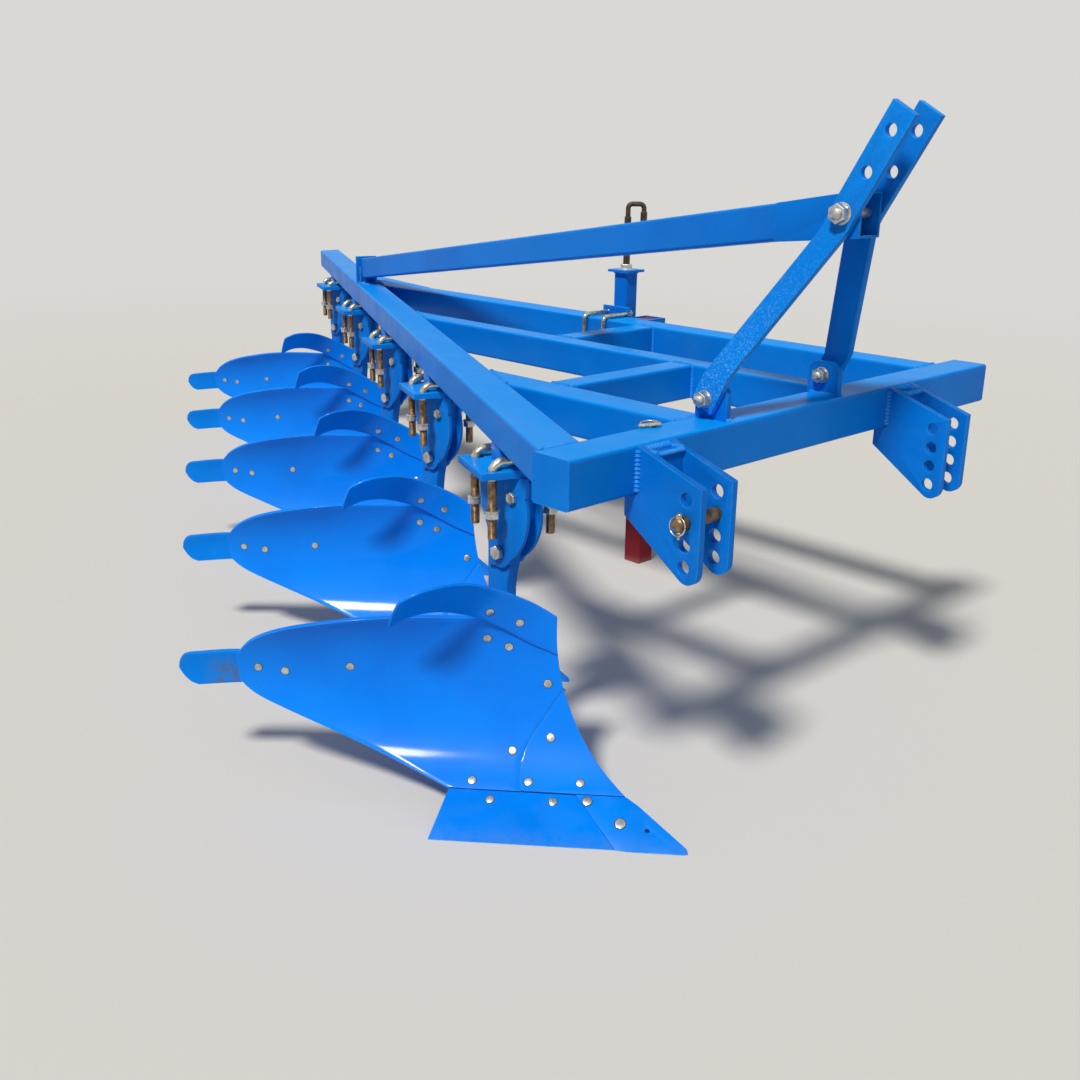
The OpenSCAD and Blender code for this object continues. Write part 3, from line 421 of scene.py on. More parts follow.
# each row of an outline: along and height at the lower edge, along and height at the upper edge
sheets = {
    "moldboard": {
        "rows": [[2, 254, 2, 410], [30, 226, 30, 412], [60, 197, 66, 414], [90, 171, 105, 416],
                 [119, 148, 150, 418], [173, 104, 205, 420], [217, 65, 258, 422], [300, 65, 320, 423],
                 [381, 65, 372, 422], [447, 97, 440, 417], [531, 134, 515, 405], [604, 164, 580, 391],
                 [660, 188, 635, 372], [700, 208, 680, 347], [722, 226, 708, 322], [733, 243, 724, 304]],
        "corners": (6, 8), "across": 60, "up": 26, "lift": 0, "thick": 8, "curl": False,
        "finish": boardEnamel, "nodes": [f"moldboard_{k + 1}" for k in range(bodies["count"])]},
    "shin": {
        "rows": [[-6, 65.5, 0.9, 254], [24, 65.5, 28.7, 226.5], [55, 65.5, 58.7, 197.5],
                 [86, 65.5, 88.7, 171.6], [115, 65.5, 117.7, 148.5], [169, 65.5, 171.7, 104.6],
                 [213, 65.5, 215.2, 67.3]],
        "corners": (), "across": 24, "up": 20, "lift": 0, "thick": 8, "curl": False,
        "finish": boardEnamel, "nodes": ["shins"]},
    "seamDirt": {  # painted shade: a dark strip laid behind the joint between shin and moldboard
        "rows": [[-2, 250, 4, 258], [25, 222, 33, 231], [55, 193.5, 63, 202], [85.5, 167.5, 92, 176],
                 [114, 144.5, 121.5, 153], [168, 100, 175.5, 109], [211, 66.5, 220, 71.5]],
        "corners": (), "across": 18, "up": 2, "lift": -3, "thick": 2, "curl": False,
        "finish": jointShade, "nodes": []},
    "trashboard": {
        "rows": [[2, 332, 0, 419], [30, 345, 28, 438], [61, 359, 56, 455], [115, 393, 110, 483],
                 [169, 423, 165, 508], [213, 440, 205, 522], [257, 452, 250, 530], [300, 454, 300, 531],
                 [335, 444, 330, 524], [364, 426, 355, 509]],
        "corners": (), "across": 30, "up": 8, "lift": face["trashLift"], "thick": 6, "curl": True,
        "finish": boardEnamel, "nodes": ["trashboards"]},
    "tailStrip": {
        "rows": [[620, 234, 600, 302], [690, 236, 672, 310], [760, 231, 735, 312], [840, 223, 836, 300],
                 [856, 230, 852, 294], [867, 245, 863, 282], [872, 262, 869, 270]],
        "corners": (3,), "across": 26, "up": 8, "lift": -9.2, "thick": 8, "curl": False,
        "finish": stripEnamel, "nodes": ["tail_strips"]},
}


def through(values, f, corners):  # smooth curve through the values but for its corners, f runs from 0 to 1
    last = len(values) - 1
    i = min(int(f * last), last - 1)
    u = f * last - i
    p = [values[max(0, min(last, i + j))] for j in (-1, 0, 1, 2)]
    if i in corners:
        p[0] = 2 * p[1] - p[2]
    if i + 1 in corners:
        p[3] = 2 * p[2] - p[1]
    return 0.5 * (2 * p[1] + (p[2] - p[0]) * u + (2 * p[0] - 5 * p[1] + 4 * p[2] - p[3]) * u * u
                  + (3 * p[1] - p[0] - 3 * p[2] + p[3]) * u ** 3)


def bentSheet(name, spec):  # a grid laid on the working face, then given its wall and its soft edges
    bpy.ops.object.select_all(action="DESELECT")
    bpy.ops.mesh.primitive_grid_add(x_subdivisions=spec["across"], y_subdivisions=spec["up"], size=1)
    sheet = bpy.context.object
    sheet.name = name
    for v in sheet.data.vertices:
        low, lowH, high, highH = [through([r[q] for r in spec["rows"]], v.co.x + 0.5, spec["corners"])
                                  for q in range(4)]
        f = v.co.y + 0.5
        v.co = faceAt(low + (high - low) * f, lowH + (highH - lowH) * f, spec["lift"], spec["curl"]) * mm
    if sheet.data.polygons[0].normal.dot(Vector((1, -1, 0))) < 0:
        startEdit(sheet)
        bpy.ops.mesh.flip_normals()
        endEdit()
    wall = sheet.modifiers.new("wall", "SOLIDIFY")
    wall.thickness = spec["thick"] * mm
    wall.offset = -1
    applyAll(sheet)
    ease(sheet, 1.0, 50)
    smooth(sheet, 42)
    return sheet


for name, spec in sheets.items():
    master = bentSheet(name, spec)
    if len(spec["nodes"]) < 2:
        dress(copied(master, allBodies, name + "s"), "plough", spec["finish"], "blue_paint", *spec["nodes"])
    else:
        for k, node in enumerate(spec["nodes"]):
            board = copied(master, [allBodies[k]], f"{name}{k + 1}", keep=True)
            dress(board, "plough", spec["finish"], "blue_paint", node)
        bpy.data.objects.remove(master)
print("boards, shins, trashboards and tail strips on")

# turned, cut and bent steel


def ridged(radius, depth, pitch, turns, sides):
    # one ridge drawn out and in from a ring, repeated by an Array: a thread, or a run of weld
    bpy.ops.object.select_all(action="DESELECT")
    bpy.ops.mesh.primitive_circle_add(vertices=sides, radius=(radius - depth) * mm)
    bar = bpy.context.object
    startEdit(bar)
    for grow in (radius / (radius - depth), (radius - depth) / radius):
        bpy.ops.mesh.extrude_region_move(TRANSFORM_OT_translate={"value": (0, 0, pitch / 2 * mm)})
        bpy.ops.transform.resize(value=(grow, grow, 1), center_override=(0, 0, 0))
    endEdit()
    repeat = bar.modifiers.new("repeat", "ARRAY")
    repeat.count = turns
    repeat.use_relative_offset = False
    repeat.use_constant_offset = True
    repeat.constant_offset_displace = (0, 0, pitch * mm)
    applyAll(bar)
    closeUp(bar)
    smooth(bar, 60)
    return bar


def turned(profile, sides):  # [radius, height] steps drawn up from the first ring, mm
    bpy.ops.object.select_all(action="DESELECT")
    bpy.ops.mesh.primitive_circle_add(vertices=sides, radius=profile[0][0] * mm,
                                      location=(0, 0, profile[0][1] * mm))
    bpy.ops.object.transform_apply(location=True, rotation=True, scale=True)
    part = bpy.context.object
    startEdit(part)
    for (r0, h0), (r1, h1) in zip(profile, profile[1:]):
        bpy.ops.mesh.extrude_region_move(TRANSFORM_OT_translate={"value": (0, 0, (h1 - h0) * mm)})
        bpy.ops.transform.resize(value=(r1 / r0, r1 / r0, 1), center_override=(0, 0, 0))
    endEdit()
    closeUp(part)
    smooth(part, 32)
    return part


def hexagon(flats, low, high, chamfer=1.6):  # nut or head between two heights, with its chamfered corners
    corner = flats / 2 / math.cos(math.radians(30))
    nut = turned([[corner * 0.93, low], [corner, low + chamfer], [corner, high - chamfer],
                  [corner * 0.93, high]], 6)
    smooth(nut, 10)
    return nut


def bentRod(d, half, leg, bend, sides=20):
    # rod bent over twice: legs at -half and half down to -leg, crown between them at the bend's height
    bpy.ops.object.select_all(action="DESELECT")
    bpy.ops.mesh.primitive_circle_add(vertices=sides, radius=d / 2 * mm,
                                      location=(0, -half * mm, -leg * mm))
    bpy.ops.object.transform_apply(location=True, rotation=True, scale=True)
    rod = bpy.context.object
    startEdit(rod)
    bpy.ops.mesh.extrude_region_move(TRANSFORM_OT_translate={"value": (0, 0, leg * mm)})
    bpy.ops.mesh.spin(steps=8, angle=math.radians(90), center=(0, (bend - half) * mm, 0), axis=(1, 0, 0))
    bpy.ops.mesh.extrude_region_move(TRANSFORM_OT_translate={"value": (0, 2 * (half - bend) * mm, 0)})
    bpy.ops.mesh.spin(steps=8, angle=math.radians(90), center=(0, (half - bend) * mm, 0), axis=(1, 0, 0))
    bpy.ops.mesh.extrude_region_move(TRANSFORM_OT_translate={"value": (0, 0, -leg * mm)})
    endEdit()
    closeUp(rod)
    smooth(rod, 40)
    return rod


def weldRuns(name, runs):  # [start, end, radius] in the drawing's mm, with ripples drawn wider than real
    beads = []
    for start, end, radius in runs:
        way = Vector(end) - Vector(start)
        turns = max(2, round(way.length / (radius * 1.1)))
        bead = ridged(radius * 1.12, radius * 0.45, way.length / turns, turns, 8)
        bead.data.transform(pointing(way, row(*start)))
        beads.append(bead)
    dress(joined(beads, name), "plough", weldEnamel, "blue_paint")


# plough bolts: flat round heads sunk in the face, with a dark ring round them that is painted shade in the
# gap, and nuts behind

ploughBolt = {"radius": 8.8, "proud": 1.2, "rim": 9.5, "rimThick": 1.4, "nutFlats": 22, "nutHeight": 10,
              "tip": 16}
faceBolts = [
    # along, height, on the curled trashboard, wall behind for the nut (0 where the frog is), size of the
    # head, which is larger on the proud share point
    (148, 439, True, 8.5, 1), (82, 408, True, 14.5, 1), (154, 366, False, 8, 1), (108, 346, False, 8, 1),
    (34, 264, False, 0, 1), (682, 276, False, 17.5, 1), (623, 269, False, 17.5, 1), (471, 286, False, 20, 1),
    (171, 126, False, 8, 1), (311, 76, False, 8, 1), (69, 153, False, 8, 1), (185, 78, False, 8, 1),
    (69, 80, False, 0, 1), (308, 53, False, 25, 1), (170, 54, False, 25, 1), (89, 58, False, 25, 1.15),
    (63, 33, False, 0, 1.3)]

headR = ploughBolt["radius"]
boltHead = turned([[headR - 2, -1.5], [headR, -1], [headR, 0.8], [headR - 1, ploughBolt["proud"]]], 24)
bpy.ops.object.select_all(action="DESELECT")
bpy.ops.mesh.primitive_torus_add(major_radius=ploughBolt["rim"] * mm, major_segments=24,
                                 minor_radius=ploughBolt["rimThick"] / 2 * mm, minor_segments=6)
boltShadeRing = bpy.context.object
smooth(boltShadeRing, 80)
boltNut = joined([hexagon(ploughBolt["nutFlats"], 0, ploughBolt["nutHeight"]),
                  turned([[6, 0], [6, ploughBolt["tip"] - 1], [5, ploughBolt["tip"]]], 16)], "boltNut")
heads, nuts = [], []
for t, h, curl, wall, size in faceBolts:
    normal = faceNormal(t, h, curl)
    lift = face["trashLift"] if curl else (face["pointProud"] if size > 1 else 0)
    headAt = (faceAt(t, h, lift, curl) + normal * 0.2) * mm
    heads.append(pointing(normal, headAt, t) @ Matrix.Scale(size, 4))
    if wall:
        nuts.append(pointing(-normal, (faceAt(t, h, 0, curl) - normal * (wall + 0.3)) * mm, t))
dress(copied(boltHead, [place @ spot for place in allBodies for spot in heads], "ploughBoltHeads"),
      "plough", zincPlate, "zinc")
# the dark rings round the heads are painted shade in the gap
dress(copied(boltShadeRing, [place @ spot for place in allBodies for spot in heads], "ploughBoltRims"),
      "plough", jointShade, "dark_steel")
dress(copied(boltNut, [place @ spot for place in allBodies for spot in nuts], "ploughBoltNuts"),
      "plough", zincPlate, "zinc")
print("plough bolts set:", len(heads) * bodies["count"])

# clamps: bent rods with threaded ends, nuts and washers, and the two bolts through each leg

frameTop = 850
diagonal = {"width": 100, "depth": 80, "start": 86, "edge": -681}  # edge: Y of its right side at the start
acrossBeam = diagonal["width"] / math.cos(math.radians(bodies["diagonalAngle"]))  # its width along Y
clamp = {
    "x": -409, "yOut": 51, "turn": -23, "neck": 40, "plate": 16, "width": 200, "rodD": 20,
    "rodPitch": 124, "rodLeg": 172, "rodBend": 26, "rodInset": 32, "crown": 18, "crownLeg": 14,
    "nutDrop": 92, "nutFlats": 30, "nutHeight": 18, "washer": 18, "threadPitch": 2.5, "threadLong": 84,
}


def outerY(x):
    return (-x - diagonal["start"]) * rowSlope + diagonal["edge"]


plateTop = frameTop - diagonal["depth"] - clamp["neck"]
rodHalf = clamp["width"] / 2 - clamp["rodInset"]
rodZ = plateTop + clamp["crown"] - clamp["rodBend"]
clampPlaces = []
for k in range(bodies["count"]):
    back = k * bodies["pitch"]
    at = row(clamp["x"] - back, outerY(clamp["x"]) + clamp["yOut"] + back * rowSlope, 0)
    clampPlaces.append(Matrix.Translation(at) @ rotated(clamp["turn"], "Z"))
rodRows = [place @ moved(s * clamp["rodPitch"] / 2, 0, rodZ) for place in clampPlaces for s in (-1, 1)]
legLong = clamp["rodLeg"] - clamp["rodBend"]
rod = bentRod(clamp["rodD"], rodHalf, legLong, clamp["rodBend"])
dress(copied(rod, rodRows, "clampRods"), "plough", yellowZinc, "yellow_zinc", "clamp_rods")
crown = bentRod(clamp["rodD"] + 0.6, rodHalf, clamp["crownLeg"], clamp["rodBend"])
dress(copied(crown, rodRows, "clampCrowns"), "plough", crownZinc, "zinc")
rodEnds = [place @ moved(0, s * rodHalf, -legLong) for place in rodRows for s in (-1, 1)]
threadTurns = int(clamp["threadLong"] / clamp["threadPitch"])
thread = ridged(clamp["rodD"] / 2 + 0.5, 0.9, clamp["threadPitch"], threadTurns, 18)
dress(copied(thread, [end @ moved(0, 0, 1.5) for end in rodEnds], "clampRodThreads"),
      "plough", yellowZinc, "yellow_zinc")
nutFoot = plateTop - clamp["plate"] - clamp["nutDrop"] - (rodZ - legLong)
nut = joined([hexagon(clamp["nutFlats"], nutFoot, nutFoot + clamp["nutHeight"] - 3),
              turned([[clamp["washer"], nutFoot + 15.2], [clamp["washer"], nutFoot + 18.6],
                      [clamp["washer"] - 1, nutFoot + 19]], 32)], "clampNut")
dress(copied(nut, rodEnds, "clampNuts"), "plough", zincPlate, "zinc")

leg = {"right": -11, "thick": 30, "cheek": 10, "gap": 0.3, "axisX": -162}
boltThread = {"proud": 0.2, "deep": 0.8, "pitch": 2.5}
legBolts = [  # from the leg's axis, height, diameter, across flats, head
    (0, frameTop - 321, 20, 30, 13), (46, frameTop - 185, 16, 24, 10.4)]
grip = leg["thick"] + 2 * (leg["cheek"] + leg["gap"])
legBoltPieces = []
for x, z, d, flats, head in legBolts:
    bolt = joined([
        hexagon(flats, -head, -0.4, 1.2),
        turned([[d / 2, -0.5], [d / 2, grip + d * 0.8]], 24),
        turned([[flats * 0.58, grip + 0.3], [flats * 0.58, grip + 2.6], [flats * 0.55, grip + 3]], 32),
        hexagon(flats, grip + 3, grip + 3 + d * 0.8, 1.2),
        ridged(d / 2 + boltThread["proud"], boltThread["deep"], boltThread["pitch"],
               max(2, int(d * 0.5 / boltThread["pitch"])), 18)], "legBolt")
    start = Vector((leg["axisX"] + x, leg["right"] - leg["cheek"] - leg["gap"], z)) * mm
    bolt.data.transform(pointing((0, 1, 0), start))
    legBoltPieces.append(bolt)
dress(copied(joined(legBoltPieces, "legBolt"), allBodies, "legBolts"),
      "plough", zincPlate, "zinc", "clamp_bolts")
print("clamps fitted")

# mast: foot bolts and brace bolt, nuts on the right side

mast = {"footX": -62, "footZ": 44, "footY": 222, "bar": 16, "lug": 16, "play": 0.3, "gap": 78, "boltZ": 423,
        "lean": 25.4}
boltX = mast["footX"] + (mast["boltZ"] - mast["footZ"]) * math.tan(math.radians(mast["lean"]))


def ridgedTip(d, at):
    tip = ridged(d / 2 + boltThread["proud"], boltThread["deep"], boltThread["pitch"], 3, 22)
    tip.data.transform(moved(0, 0, at))
    return tip


def hexBolt(d, flats, gripLong, name):  # head below z 0, nut above the grip, with washers and a thread
    washer, washerTop, spring = flats * 0.62, flats * 0.6, flats * 0.5
    return joined([
        hexagon(flats, -d * 0.62 - 2.4, -2.8, 1.4),
        turned([[washer, -2.8], [washer, -0.5], [washerTop, -0.3]], 32),
        turned([[d / 2, -1], [d / 2, gripLong + d]], 28),
        turned([[washer, gripLong + 0.3], [washer, gripLong + 2.4], [washerTop, gripLong + 2.8]], 32),
        turned([[spring, gripLong + 2.8], [spring, gripLong + 5.6]], 32),
        hexagon(flats, gripLong + 5.6, gripLong + 5.6 + d * 0.7, 1.4),
        ridgedTip(d, gripLong + 5 + d * 0.7)], name)


footGrip = mast["bar"] + mast["lug"] + mast["play"]
outer = mast["footY"] + mast["bar"] / 2
footBolt = hexBolt(20, 30, footGrip, "footBolt")
footPlaces = [pointing((0, -1, 0), row(mast["footX"], -outer + footGrip, frameTop + mast["footZ"])),
              pointing((0, -1, 0), row(mast["footX"], outer, frameTop + mast["footZ"]))]
braceGrip = mast["gap"] + 2 * mast["bar"]
braceBolt = hexBolt(24, 36, braceGrip, "braceBolt")
bracePlace = pointing((0, -1, 0), row(boltX, braceGrip / 2, frameTop + mast["boltZ"]))
mastBolts = joined([copied(footBolt, footPlaces, "footBolts"),
                    copied(braceBolt, [bracePlace], "braceBolt")], "mastBolts")
dress(mastBolts, "plough", zincPlate, "zinc", "mast_bolts")
print("mast bolted")

# hitch pin with its lynch pin, and the spare lynch pin left on the cross beam

hitch = {"spacing": 898, "gap": 76, "plate": 16, "x": 126, "z": frameTop - 127, "pin": 28, "pinTip": 26,
         "pinHead": 14, "headD": 40, "lynchOut": 17}
pinReach = hitch["gap"] / 2 + hitch["plate"]
pinMiddle = -hitch["spacing"] / 2
pinLong = 2 * pinReach + hitch["pinTip"] + hitch["pinHead"]
pinR, pinHeadR = hitch["pin"] / 2, hitch["headD"] / 2
hitchPin = turned([[pinR - 3, 0], [pinR, 3.5], [pinR, pinLong - hitch["pinHead"]],
                   [pinHeadR, pinLong - 13.6], [pinHeadR, pinLong - 2], [pinHeadR - 1.5, pinLong]], 36)
pinStart = row(hitch["x"], pinMiddle - pinReach - hitch["pinTip"], hitch["z"])
hitchPin.data.transform(pointing((0, 1, 0), pinStart))
dress(joined([hitchPin], "hitchPin"), "plough", yellowZinc, "yellow_zinc", "hitch_pin")


def lynchPin():  # short pin with a thick head, and its spring ring, which lies in the X and Y plane
    shank = turned([[2.5, -44], [4.4, -37], [4.4, -6], [6.4, -4], [6.4, 6], [5.2, 7.5]], 20)
    bpy.ops.object.select_all(action="DESELECT")
    bpy.ops.mesh.primitive_circle_add(vertices=10, radius=1.7 * mm, rotation=(math.radians(90), 0, 0),
                                      location=(18.5 * mm, 0, 0))
    bpy.ops.object.transform_apply(location=True, rotation=True, scale=True)
    ring = bpy.context.object
    startEdit(ring)
    bpy.ops.mesh.spin(steps=40, angle=math.radians(356), center=(0, 0, 0), axis=(0, 0, 1))
    endEdit()
    closeUp(ring)
    smooth(ring, 60)
    return shank, ring


shank, ring = lynchPin()
pinEnd = Matrix.Translation(row(hitch["x"], pinMiddle - pinReach - hitch["lynchOut"], hitch["z"]))
spare = Matrix.Translation(row(-80, -357, frameTop + 5.2))
shankPlaces = [pinEnd @ moved(0, 0, 15), spare @ rotated(70, "Z") @ rotated(90, "Y")]
ringPlaces = [pinEnd @ moved(0, -5, -2) @ rotated(84, "X"), spare @ moved(-16, -6, 0.5) @ rotated(6, "X")]
lynchPins = [copied(shank, shankPlaces, "lynchShanks"), copied(ring, ringPlaces, "lynchRings")]
dress(joined(lynchPins, "lynchPins"), "plough", crownZinc, "yellow_zinc")
print("hitch pinned")

# screw jack: rods over the left beam, nut and weld on the flange, thread and crank

jack = {
    "x": -1271, "beamY": 790, "beamW": 100, "plate": 10, "side": 56, "up": 150, "depth": 90, "rodD": 14,
    "rodPitch": 86, "rodBend": 14, "rodGap": 2.5, "screwD": 22, "crank": 360, "crankBend": 14, "arm": 52,
    "grip": 120, "handleD": 16, "turn": 46,
}
jackY = jack["beamY"] + jack["plate"] + jack["side"] / 2 + 0.3
rise = jack["depth"] / 2 + jack["rodD"] / 2 + jack["rodGap"]
rodReach = jack["beamW"] + jack["plate"] + 2
jackRod = bentRod(jack["rodD"], rise, rodReach, jack["rodBend"], 18)
jackThread = ridged(jack["rodD"] / 2 + 0.2, 0.8, 2, 9, 16)
jackNut = joined([hexagon(22, 4, 14, 1.2), turned([[13, 1.6], [13, 3.6], [12.4, 4]], 28)], "jackNut")
rodY = jack["beamY"] - jack["beamW"] - jack["rodGap"] - jack["rodD"] / 2 + jack["rodBend"]
rodLaid = [Matrix.Translation(row(jack["x"] + s * jack["rodPitch"] / 2, rodY, frameTop - jack["depth"] / 2))
           @ rotated(90, "X") for s in (-1, 1)]
jackRods = copied(jackRod, rodLaid, "jackRodBends")
rodTips = [laid @ moved(0, s * rise, -rodReach) for laid in rodLaid for s in (-1, 1)]
threads = copied(jackThread, [tip @ moved(0, 0, 1) for tip in rodTips], "jackThreads")
nuts = copied(jackNut, [tip @ moved(0, 0, -1) for tip in rodTips], "jackNuts")
dress(joined([jackRods, threads, nuts], "jackRods"), "plough", crownZinc, "zinc", "jack_rods")

screwAt = row(jack["x"], jackY, frameTop)
screwR, screwPitch = jack["screwD"] / 2, 5
screw = turned([[screwR - 1, -150], [screwR, -148], [screwR, jack["up"]], [screwR, jack["crank"] - 40]], 24)
screwThread = ridged(screwR + 0.4, 1.3, screwPitch, int((jack["crank"] - 60 - jack["up"]) / screwPitch), 22)
screwThread.data.transform(moved(0, 0, jack["up"] + 18))
bend, crankTop = jack["crankBend"], jack["crank"] - jack["crankBend"]
bpy.ops.object.select_all(action="DESELECT")
bpy.ops.mesh.primitive_circle_add(vertices=18, radius=jack["handleD"] / 2 * mm,
                                  location=(0, 0, (jack["crank"] - 45) * mm))
bpy.ops.object.transform_apply(location=True, rotation=True, scale=True)
crankRod = bpy.context.object
startEdit(crankRod)  # up, over, and down again to the grip
bpy.ops.mesh.extrude_region_move(TRANSFORM_OT_translate={"value": (0, 0, (45 - bend) * mm)})
bpy.ops.mesh.spin(steps=6, angle=math.radians(90), center=(bend * mm, 0, crankTop * mm), axis=(0, -1, 0))
bpy.ops.mesh.extrude_region_move(TRANSFORM_OT_translate={"value": ((jack["arm"] - 2 * bend) * mm, 0, 0)})
bpy.ops.mesh.spin(steps=6, angle=math.radians(90), center=((jack["arm"] - bend) * mm, 0, crankTop * mm),
                  axis=(0, -1, 0))
bpy.ops.mesh.extrude_region_move(TRANSFORM_OT_translate={"value": (0, 0, -(jack["grip"] - 22) * mm)})
endEdit()
closeUp(crankRod)
smooth(crankRod, 40)
sleeveGrip = turned([[9.5, jack["crank"] - 8 - jack["grip"]], [11, jack["crank"] - 6 - jack["grip"]],
                     [11, jack["crank"] - 26], [9.5, jack["crank"] - 24]], 24)
sleeveGrip.data.transform(moved(jack["arm"], 0, 0))
crank = joined([screw, screwThread, crankRod, sleeveGrip], "jackScrew")
crank.data.transform(Matrix.Translation(screwAt) @ rotated(jack["turn"], "Z"))
dress(crank, "plough", darkSteel, "dark_steel", "jack_screw")
up = jack["up"]
jackCollar = joined([hexagon(34, up + 0.4, up + 17, 1.6),
                     turned([[24, up + 0.2], [23, up + 3.6], [21, up + 4]], 32)], "jackCollar")
jackCollar.data.transform(Matrix.Translation(screwAt))
dress(jackCollar, "plough", zincPlate, "zinc")
print("jack fitted")

# stand: the screw that pinches the leg in its socket

stand = {"x": -1172, "y": 832, "side": 70, "wall": 6, "play": 1, "screwZ": frameTop - 45}  # the leg's axis
screwStart = stand["y"] + stand["side"] / 2 + 0.3
pinchBar = turned([[7, 0], [8, 1], [8, 50], [11, 50.5], [11, 58], [8, 62]], 24)
pinchThread = ridged(8.2, 0.9, boltThread["pitch"], 15, 18)
pinchThread.data.transform(moved(0, 0, 9))
pinch = joined([pinchBar, pinchThread], "pinch")
pinch.data.transform(pointing((0, 1, 0), row(stand["x"], screwStart, stand["screwZ"])))
toggle = turned([[3, -55], [6.4, -53], [6.4, -47], [5, -45], [5, 45], [6.4, 47], [6.4, 53], [3, 55]], 18)
toggle.data.transform(pointing((1, 0, 0), row(stand["x"], screwStart + 54, stand["screwZ"])))
dress(joined([pinch, toggle], "standScrew"), "plough", zincPlate, "zinc", "stand_screw")
print("stand screw fitted")

# welds

frameTubes = {"crossWide": 100, "deep": 90, "corner": 8}
longBeams = [(790, 100), (334, 75), (-188, 97)]  # left face and width of the three beams that run back
crossMembers = [(1020, 334, 690), (500, -188, 259)]  # how far back the front face is, right and left end
memberWide = 75
weldBead = {"thin": 4, "side": 4.5, "top": 5, "lug": 5, "clevisIn": 6, "clevisOut": 7.5, "clevisTop": 8}


def uprightRun(x, y, low, high, radius):  # low and high are measured from the frame's top
    return [(x, y, frameTop + low), (x, y, frameTop + high), radius]


def levelRun(start, end, z, radius):  # from one (x, y) to the other
    return [(*start, frameTop + z), (*end, frameTop + z), radius]


def innerX(y):  # where a beam that runs back meets the diagonal one
    return -(y - diagonal["edge"] - acrossBeam) / rowSlope - diagonal["start"]


runs = []
crossBack, corner, low = -frameTubes["crossWide"], frameTubes["corner"], 4 - frameTubes["deep"]
for y, w in longBeams:
    right, left = y - w + corner, y - corner
    runs.append(levelRun((crossBack - 1, right), (crossBack - 1, left), -2, weldBead["top"]))
    for side in (y, y - w):
        runs.append(uprightRun(crossBack, side, low, -4, weldBead["side"]))
        runs.append(uprightRun(innerX(side), side, -78, -4, weldBead["side"]))
    runs.append(levelRun((innerX(right) + 1, right), (innerX(left) + 1, left), -2, weldBead["top"]))
for front, right, left in crossMembers:
    for y in (right, left):
        runs.append(levelRun((-front - memberWide + corner, y), (-front - corner, y), -2, weldBead["top"]))
        for x in (-front, -front - memberWide):
            runs.append(uprightRun(x, y, low, -4, weldBead["side"]))
right = outerY(crossBack)
left = right + acrossBeam
runs.append(levelRun((crossBack - 1, right + 12), (crossBack - 1, left - 8), -2, weldBead["top"]))
runs.append(uprightRun(crossBack, left, -76, -4, weldBead["top"]))
weldRuns("frameWelds", runs)

runs = []
for side in (-1, 1):
    middle = side * hitch["spacing"] / 2
    for s in (-1, 1):
        inside = middle + s * hitch["gap"] / 2
        runs.append(uprightRun(1, inside, -94, -62, weldBead["clevisIn"]))
        runs.append(uprightRun(1, inside + s * hitch["plate"], -94, -8, weldBead["clevisOut"]))
        runs.append(levelRun((6, inside), (38, inside), -13, weldBead["clevisIn"]))
    runs.append(levelRun((40, middle - 36), (40, middle + 36), -14, weldBead["top"]))
    runs.append(levelRun((3, middle - 36), (3, middle + 36), -11, weldBead["clevisTop"]))
weldRuns("hitchWelds", runs)

runs = []
lugOuter = mast["footY"] - mast["bar"] / 2 - mast["play"]
for side in (-1, 1):
    outside, inside = side * lugOuter, side * (lugOuter - mast["lug"])
    runs.append(levelRun((-90, inside), (-18, inside), 1, weldBead["lug"]))
    runs.append(levelRun((-16, outside), (-16, inside), 1, weldBead["lug"]))
weldRuns("lugWelds", runs)

runs = []
cheekRight = -bodies["y"] + leg["right"] - leg["gap"] - leg["cheek"]
cheekLeft = -bodies["y"] + leg["right"] + leg["thick"] + leg["gap"] + leg["cheek"]
under = plateTop - clamp["plate"] - frameTop - 1
for k in range(bodies["count"]):
    dx, dy = -k * bodies["pitch"], k * bodies["pitch"] * rowSlope
    x = leg["axisX"] - bodies["x"] + dx
    for y in (cheekRight, cheekLeft):
        runs.append(levelRun((x - 60, y + dy), (x + 50, y + dy), under, weldBead["side"]))
weldRuns("clampWelds", runs)

runs = []
half = jack["side"] / 2
for a, b in (((-half, -half), (half, -half)), ((half, -half), (half, half)), ((half, half), (-half, half)),
             ((-half, half), (-half, -half))):
    runs.append(levelRun((jack["x"] + a[0], jackY + a[1]), (jack["x"] + b[0], jackY + b[1]), jack["up"] - 9,
                         weldBead["thin"]))
for s in (-1, 1):
    runs.append(uprightRun(jack["x"] + s * half, jackY - half, -118, 28, weldBead["thin"]))
socketHalf = stand["side"] / 2 + stand["play"] + stand["wall"]
for s in (-1, 1):
    runs.append(uprightRun(stand["x"] + s * socketHalf, jack["beamY"], -86, -6, weldBead["side"]))
weldRuns("jackWelds", runs)

brace = {"front": -55, "rear": -2560, "lugIn": -26, "lugT": 12, "half": 28, "lugHalf": 40}
braceEndY = outerY(brace["rear"]) + acrossBeam / 2
lugTurn = Matrix.Rotation(-math.atan(braceEndY / (brace["front"] - brace["rear"])), 4, "Z")


def onLug(x, y, z):  # measured from the brace's rear end, along it and across it
    at = lugTurn @ Vector((x, y, 0))
    return (brace["rear"] + at.x, braceEndY + at.y, frameTop + z)


runs = []
for x in (brace["lugIn"], brace["lugIn"] + brace["lugT"]):
    runs.append([onLug(x, -brace["lugHalf"], 1), onLug(x, brace["lugHalf"], 1), weldBead["lug"]])
for s in (-1, 1):
    runs.append([onLug(-12, s * brace["half"], 6), onLug(-12, s * brace["half"], 66), weldBead["thin"]])
    runs.append([onLug(-8, s * brace["half"], 1), onLug(90, s * brace["half"], 1), weldBead["thin"]])
weldRuns("braceWelds", runs)
print("welds laid")

# floor, light and camera

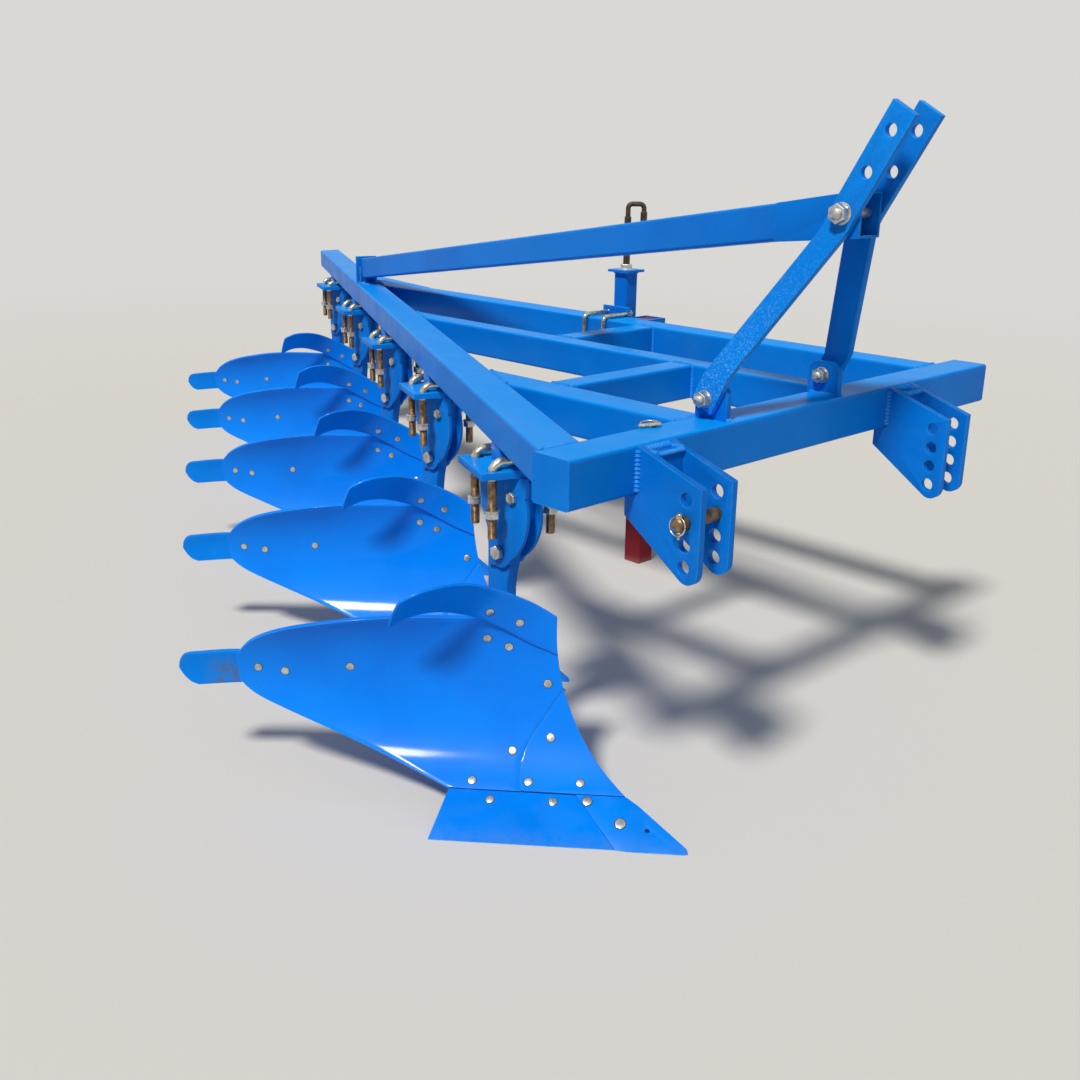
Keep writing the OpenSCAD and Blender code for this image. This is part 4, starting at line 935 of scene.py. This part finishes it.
studio = {"floor": "#d9d7d2", "backdrop": "#d9d8d5", "fadeFrom": 3.6, "fadeTo": 9.0,
          "sky": "#dce4ee", "skyStrength": 0.27}
bpy.ops.object.select_all(action="DESELECT")
bpy.ops.mesh.primitive_plane_add(size=400, location=(0, 0, -0.5 * mm))
bpy.ops.object.transform_apply(location=True, rotation=True, scale=True)
floor = bpy.context.object
floor.name = "floor"
# matt painted studio floor: hardly any shine, and it fades into the backdrop's tone further out
floorMaterial, tree, shader, place = newMaterial("paleStudioFloor")
shader.inputs["Base Color"].default_value = srgb(studio["floor"])
shader.inputs["Roughness"].default_value = 0.95
shader.inputs["Specular IOR Level"].default_value = 0.1
haze = addNode(tree, "ShaderNodeEmission", None, {"Color": srgb(studio["backdrop"]), "Strength": 1.0})
reach = addNode(tree, "ShaderNodeVectorMath", {"operation": "LENGTH"}, {0: (place, "Object")})
far = fade(tree, (reach, "Value"), studio["fadeFrom"], studio["fadeTo"])
blend = addNode(tree, "ShaderNodeMixShader", None, {0: (far, 0), 1: (shader, 0), 2: (haze, 0)})
tree.links.new(blend.outputs[0], tree.nodes["Material Output"].inputs["Surface"])
floor.data.materials.append(floorMaterial)

# the sky lights softly; the eye, shine and glass see the pale backdrop instead
world = bpy.data.worlds.new("studio")
bpy.context.scene.world = world
world.use_nodes = True
sky = world.node_tree
sky.nodes.remove(sky.nodes["Background"])
rays = addNode(sky, "ShaderNodeLightPath")
fill = addNode(sky, "ShaderNodeBackground", None,
               {"Color": srgb(studio["sky"]), "Strength": studio["skyStrength"]})
pale = addNode(sky, "ShaderNodeBackground", None, {"Color": srgb(studio["backdrop"]), "Strength": 1.0})
seen = addNode(sky, "ShaderNodeMath", {"operation": "MAXIMUM"},
               {0: (rays, "Is Camera Ray"), 1: (rays, "Is Transmission Ray")})
seen = addNode(sky, "ShaderNodeMath", {"operation": "MAXIMUM"}, {0: (seen, 0), 1: (rays, "Is Glossy Ray")})
blend = addNode(sky, "ShaderNodeMixShader", None, {0: (seen, 0), 1: (fill, 0), 2: (pale, 0)})
sky.links.new(blend.outputs[0], sky.nodes["World Output"].inputs["Surface"])

# key from the right and a little from ahead, as the photographed shadows lie, wide so that they stay soft,
# and a weak fill from the front and left
suns = {
    "keySun": {"towards": (-0.22, 0.6, -0.77), "strength": 3.15, "degrees": 9, "color": "#fffaf2"},
    "fillSun": {"towards": (-0.8, -0.25, -0.5), "strength": 0.1, "degrees": 60, "color": "#f2f6ff"},
}
for name, sun in suns.items():
    light = bpy.data.lights.new(name, "SUN")
    light.energy = sun["strength"]
    light.angle = math.radians(sun["degrees"])
    light.color = srgb(sun["color"])[:3]
    holder = bpy.data.objects.new(name, light)
    bpy.context.collection.objects.link(holder)
    holder.location = (0, 0, 4)
    holder.rotation_euler = Vector(sun["towards"]).to_track_quat("-Z", "Y").to_euler()

# where the photograph was taken from, mm in the drawing, and how the camera was held, degrees
view = {"at": (1502.7, -2185.8, 1403.3), "yaw": 43.508, "pitch": 18.395, "roll": 0.71,
        "lens": 40.02, "sensor": 36}
yaw, pitch, roll = (math.radians(view[k]) for k in ("yaw", "pitch", "roll"))
look = Vector((-math.cos(yaw) * math.cos(pitch), math.sin(yaw) * math.cos(pitch), -math.sin(pitch)))
level = Vector((math.sin(yaw), math.cos(yaw), 0))
upright = level.cross(look)
right = level * math.cos(roll) + upright * math.sin(roll)
up = upright * math.cos(roll) - level * math.sin(roll)
camera = bpy.data.objects.new("photoCamera", bpy.data.cameras.new("photoCamera"))
bpy.context.collection.objects.link(camera)
camera.matrix_world = Matrix.Translation(row(*view["at"])) @ Matrix((right, up, -look)).transposed().to_4x4()
camera.data.sensor_width = view["sensor"]
camera.data.lens = view["lens"]
camera.data.clip_end = 400
bpy.context.scene.camera = camera
bpy.context.scene.view_settings.view_transform = "Standard"
print("studio ready")
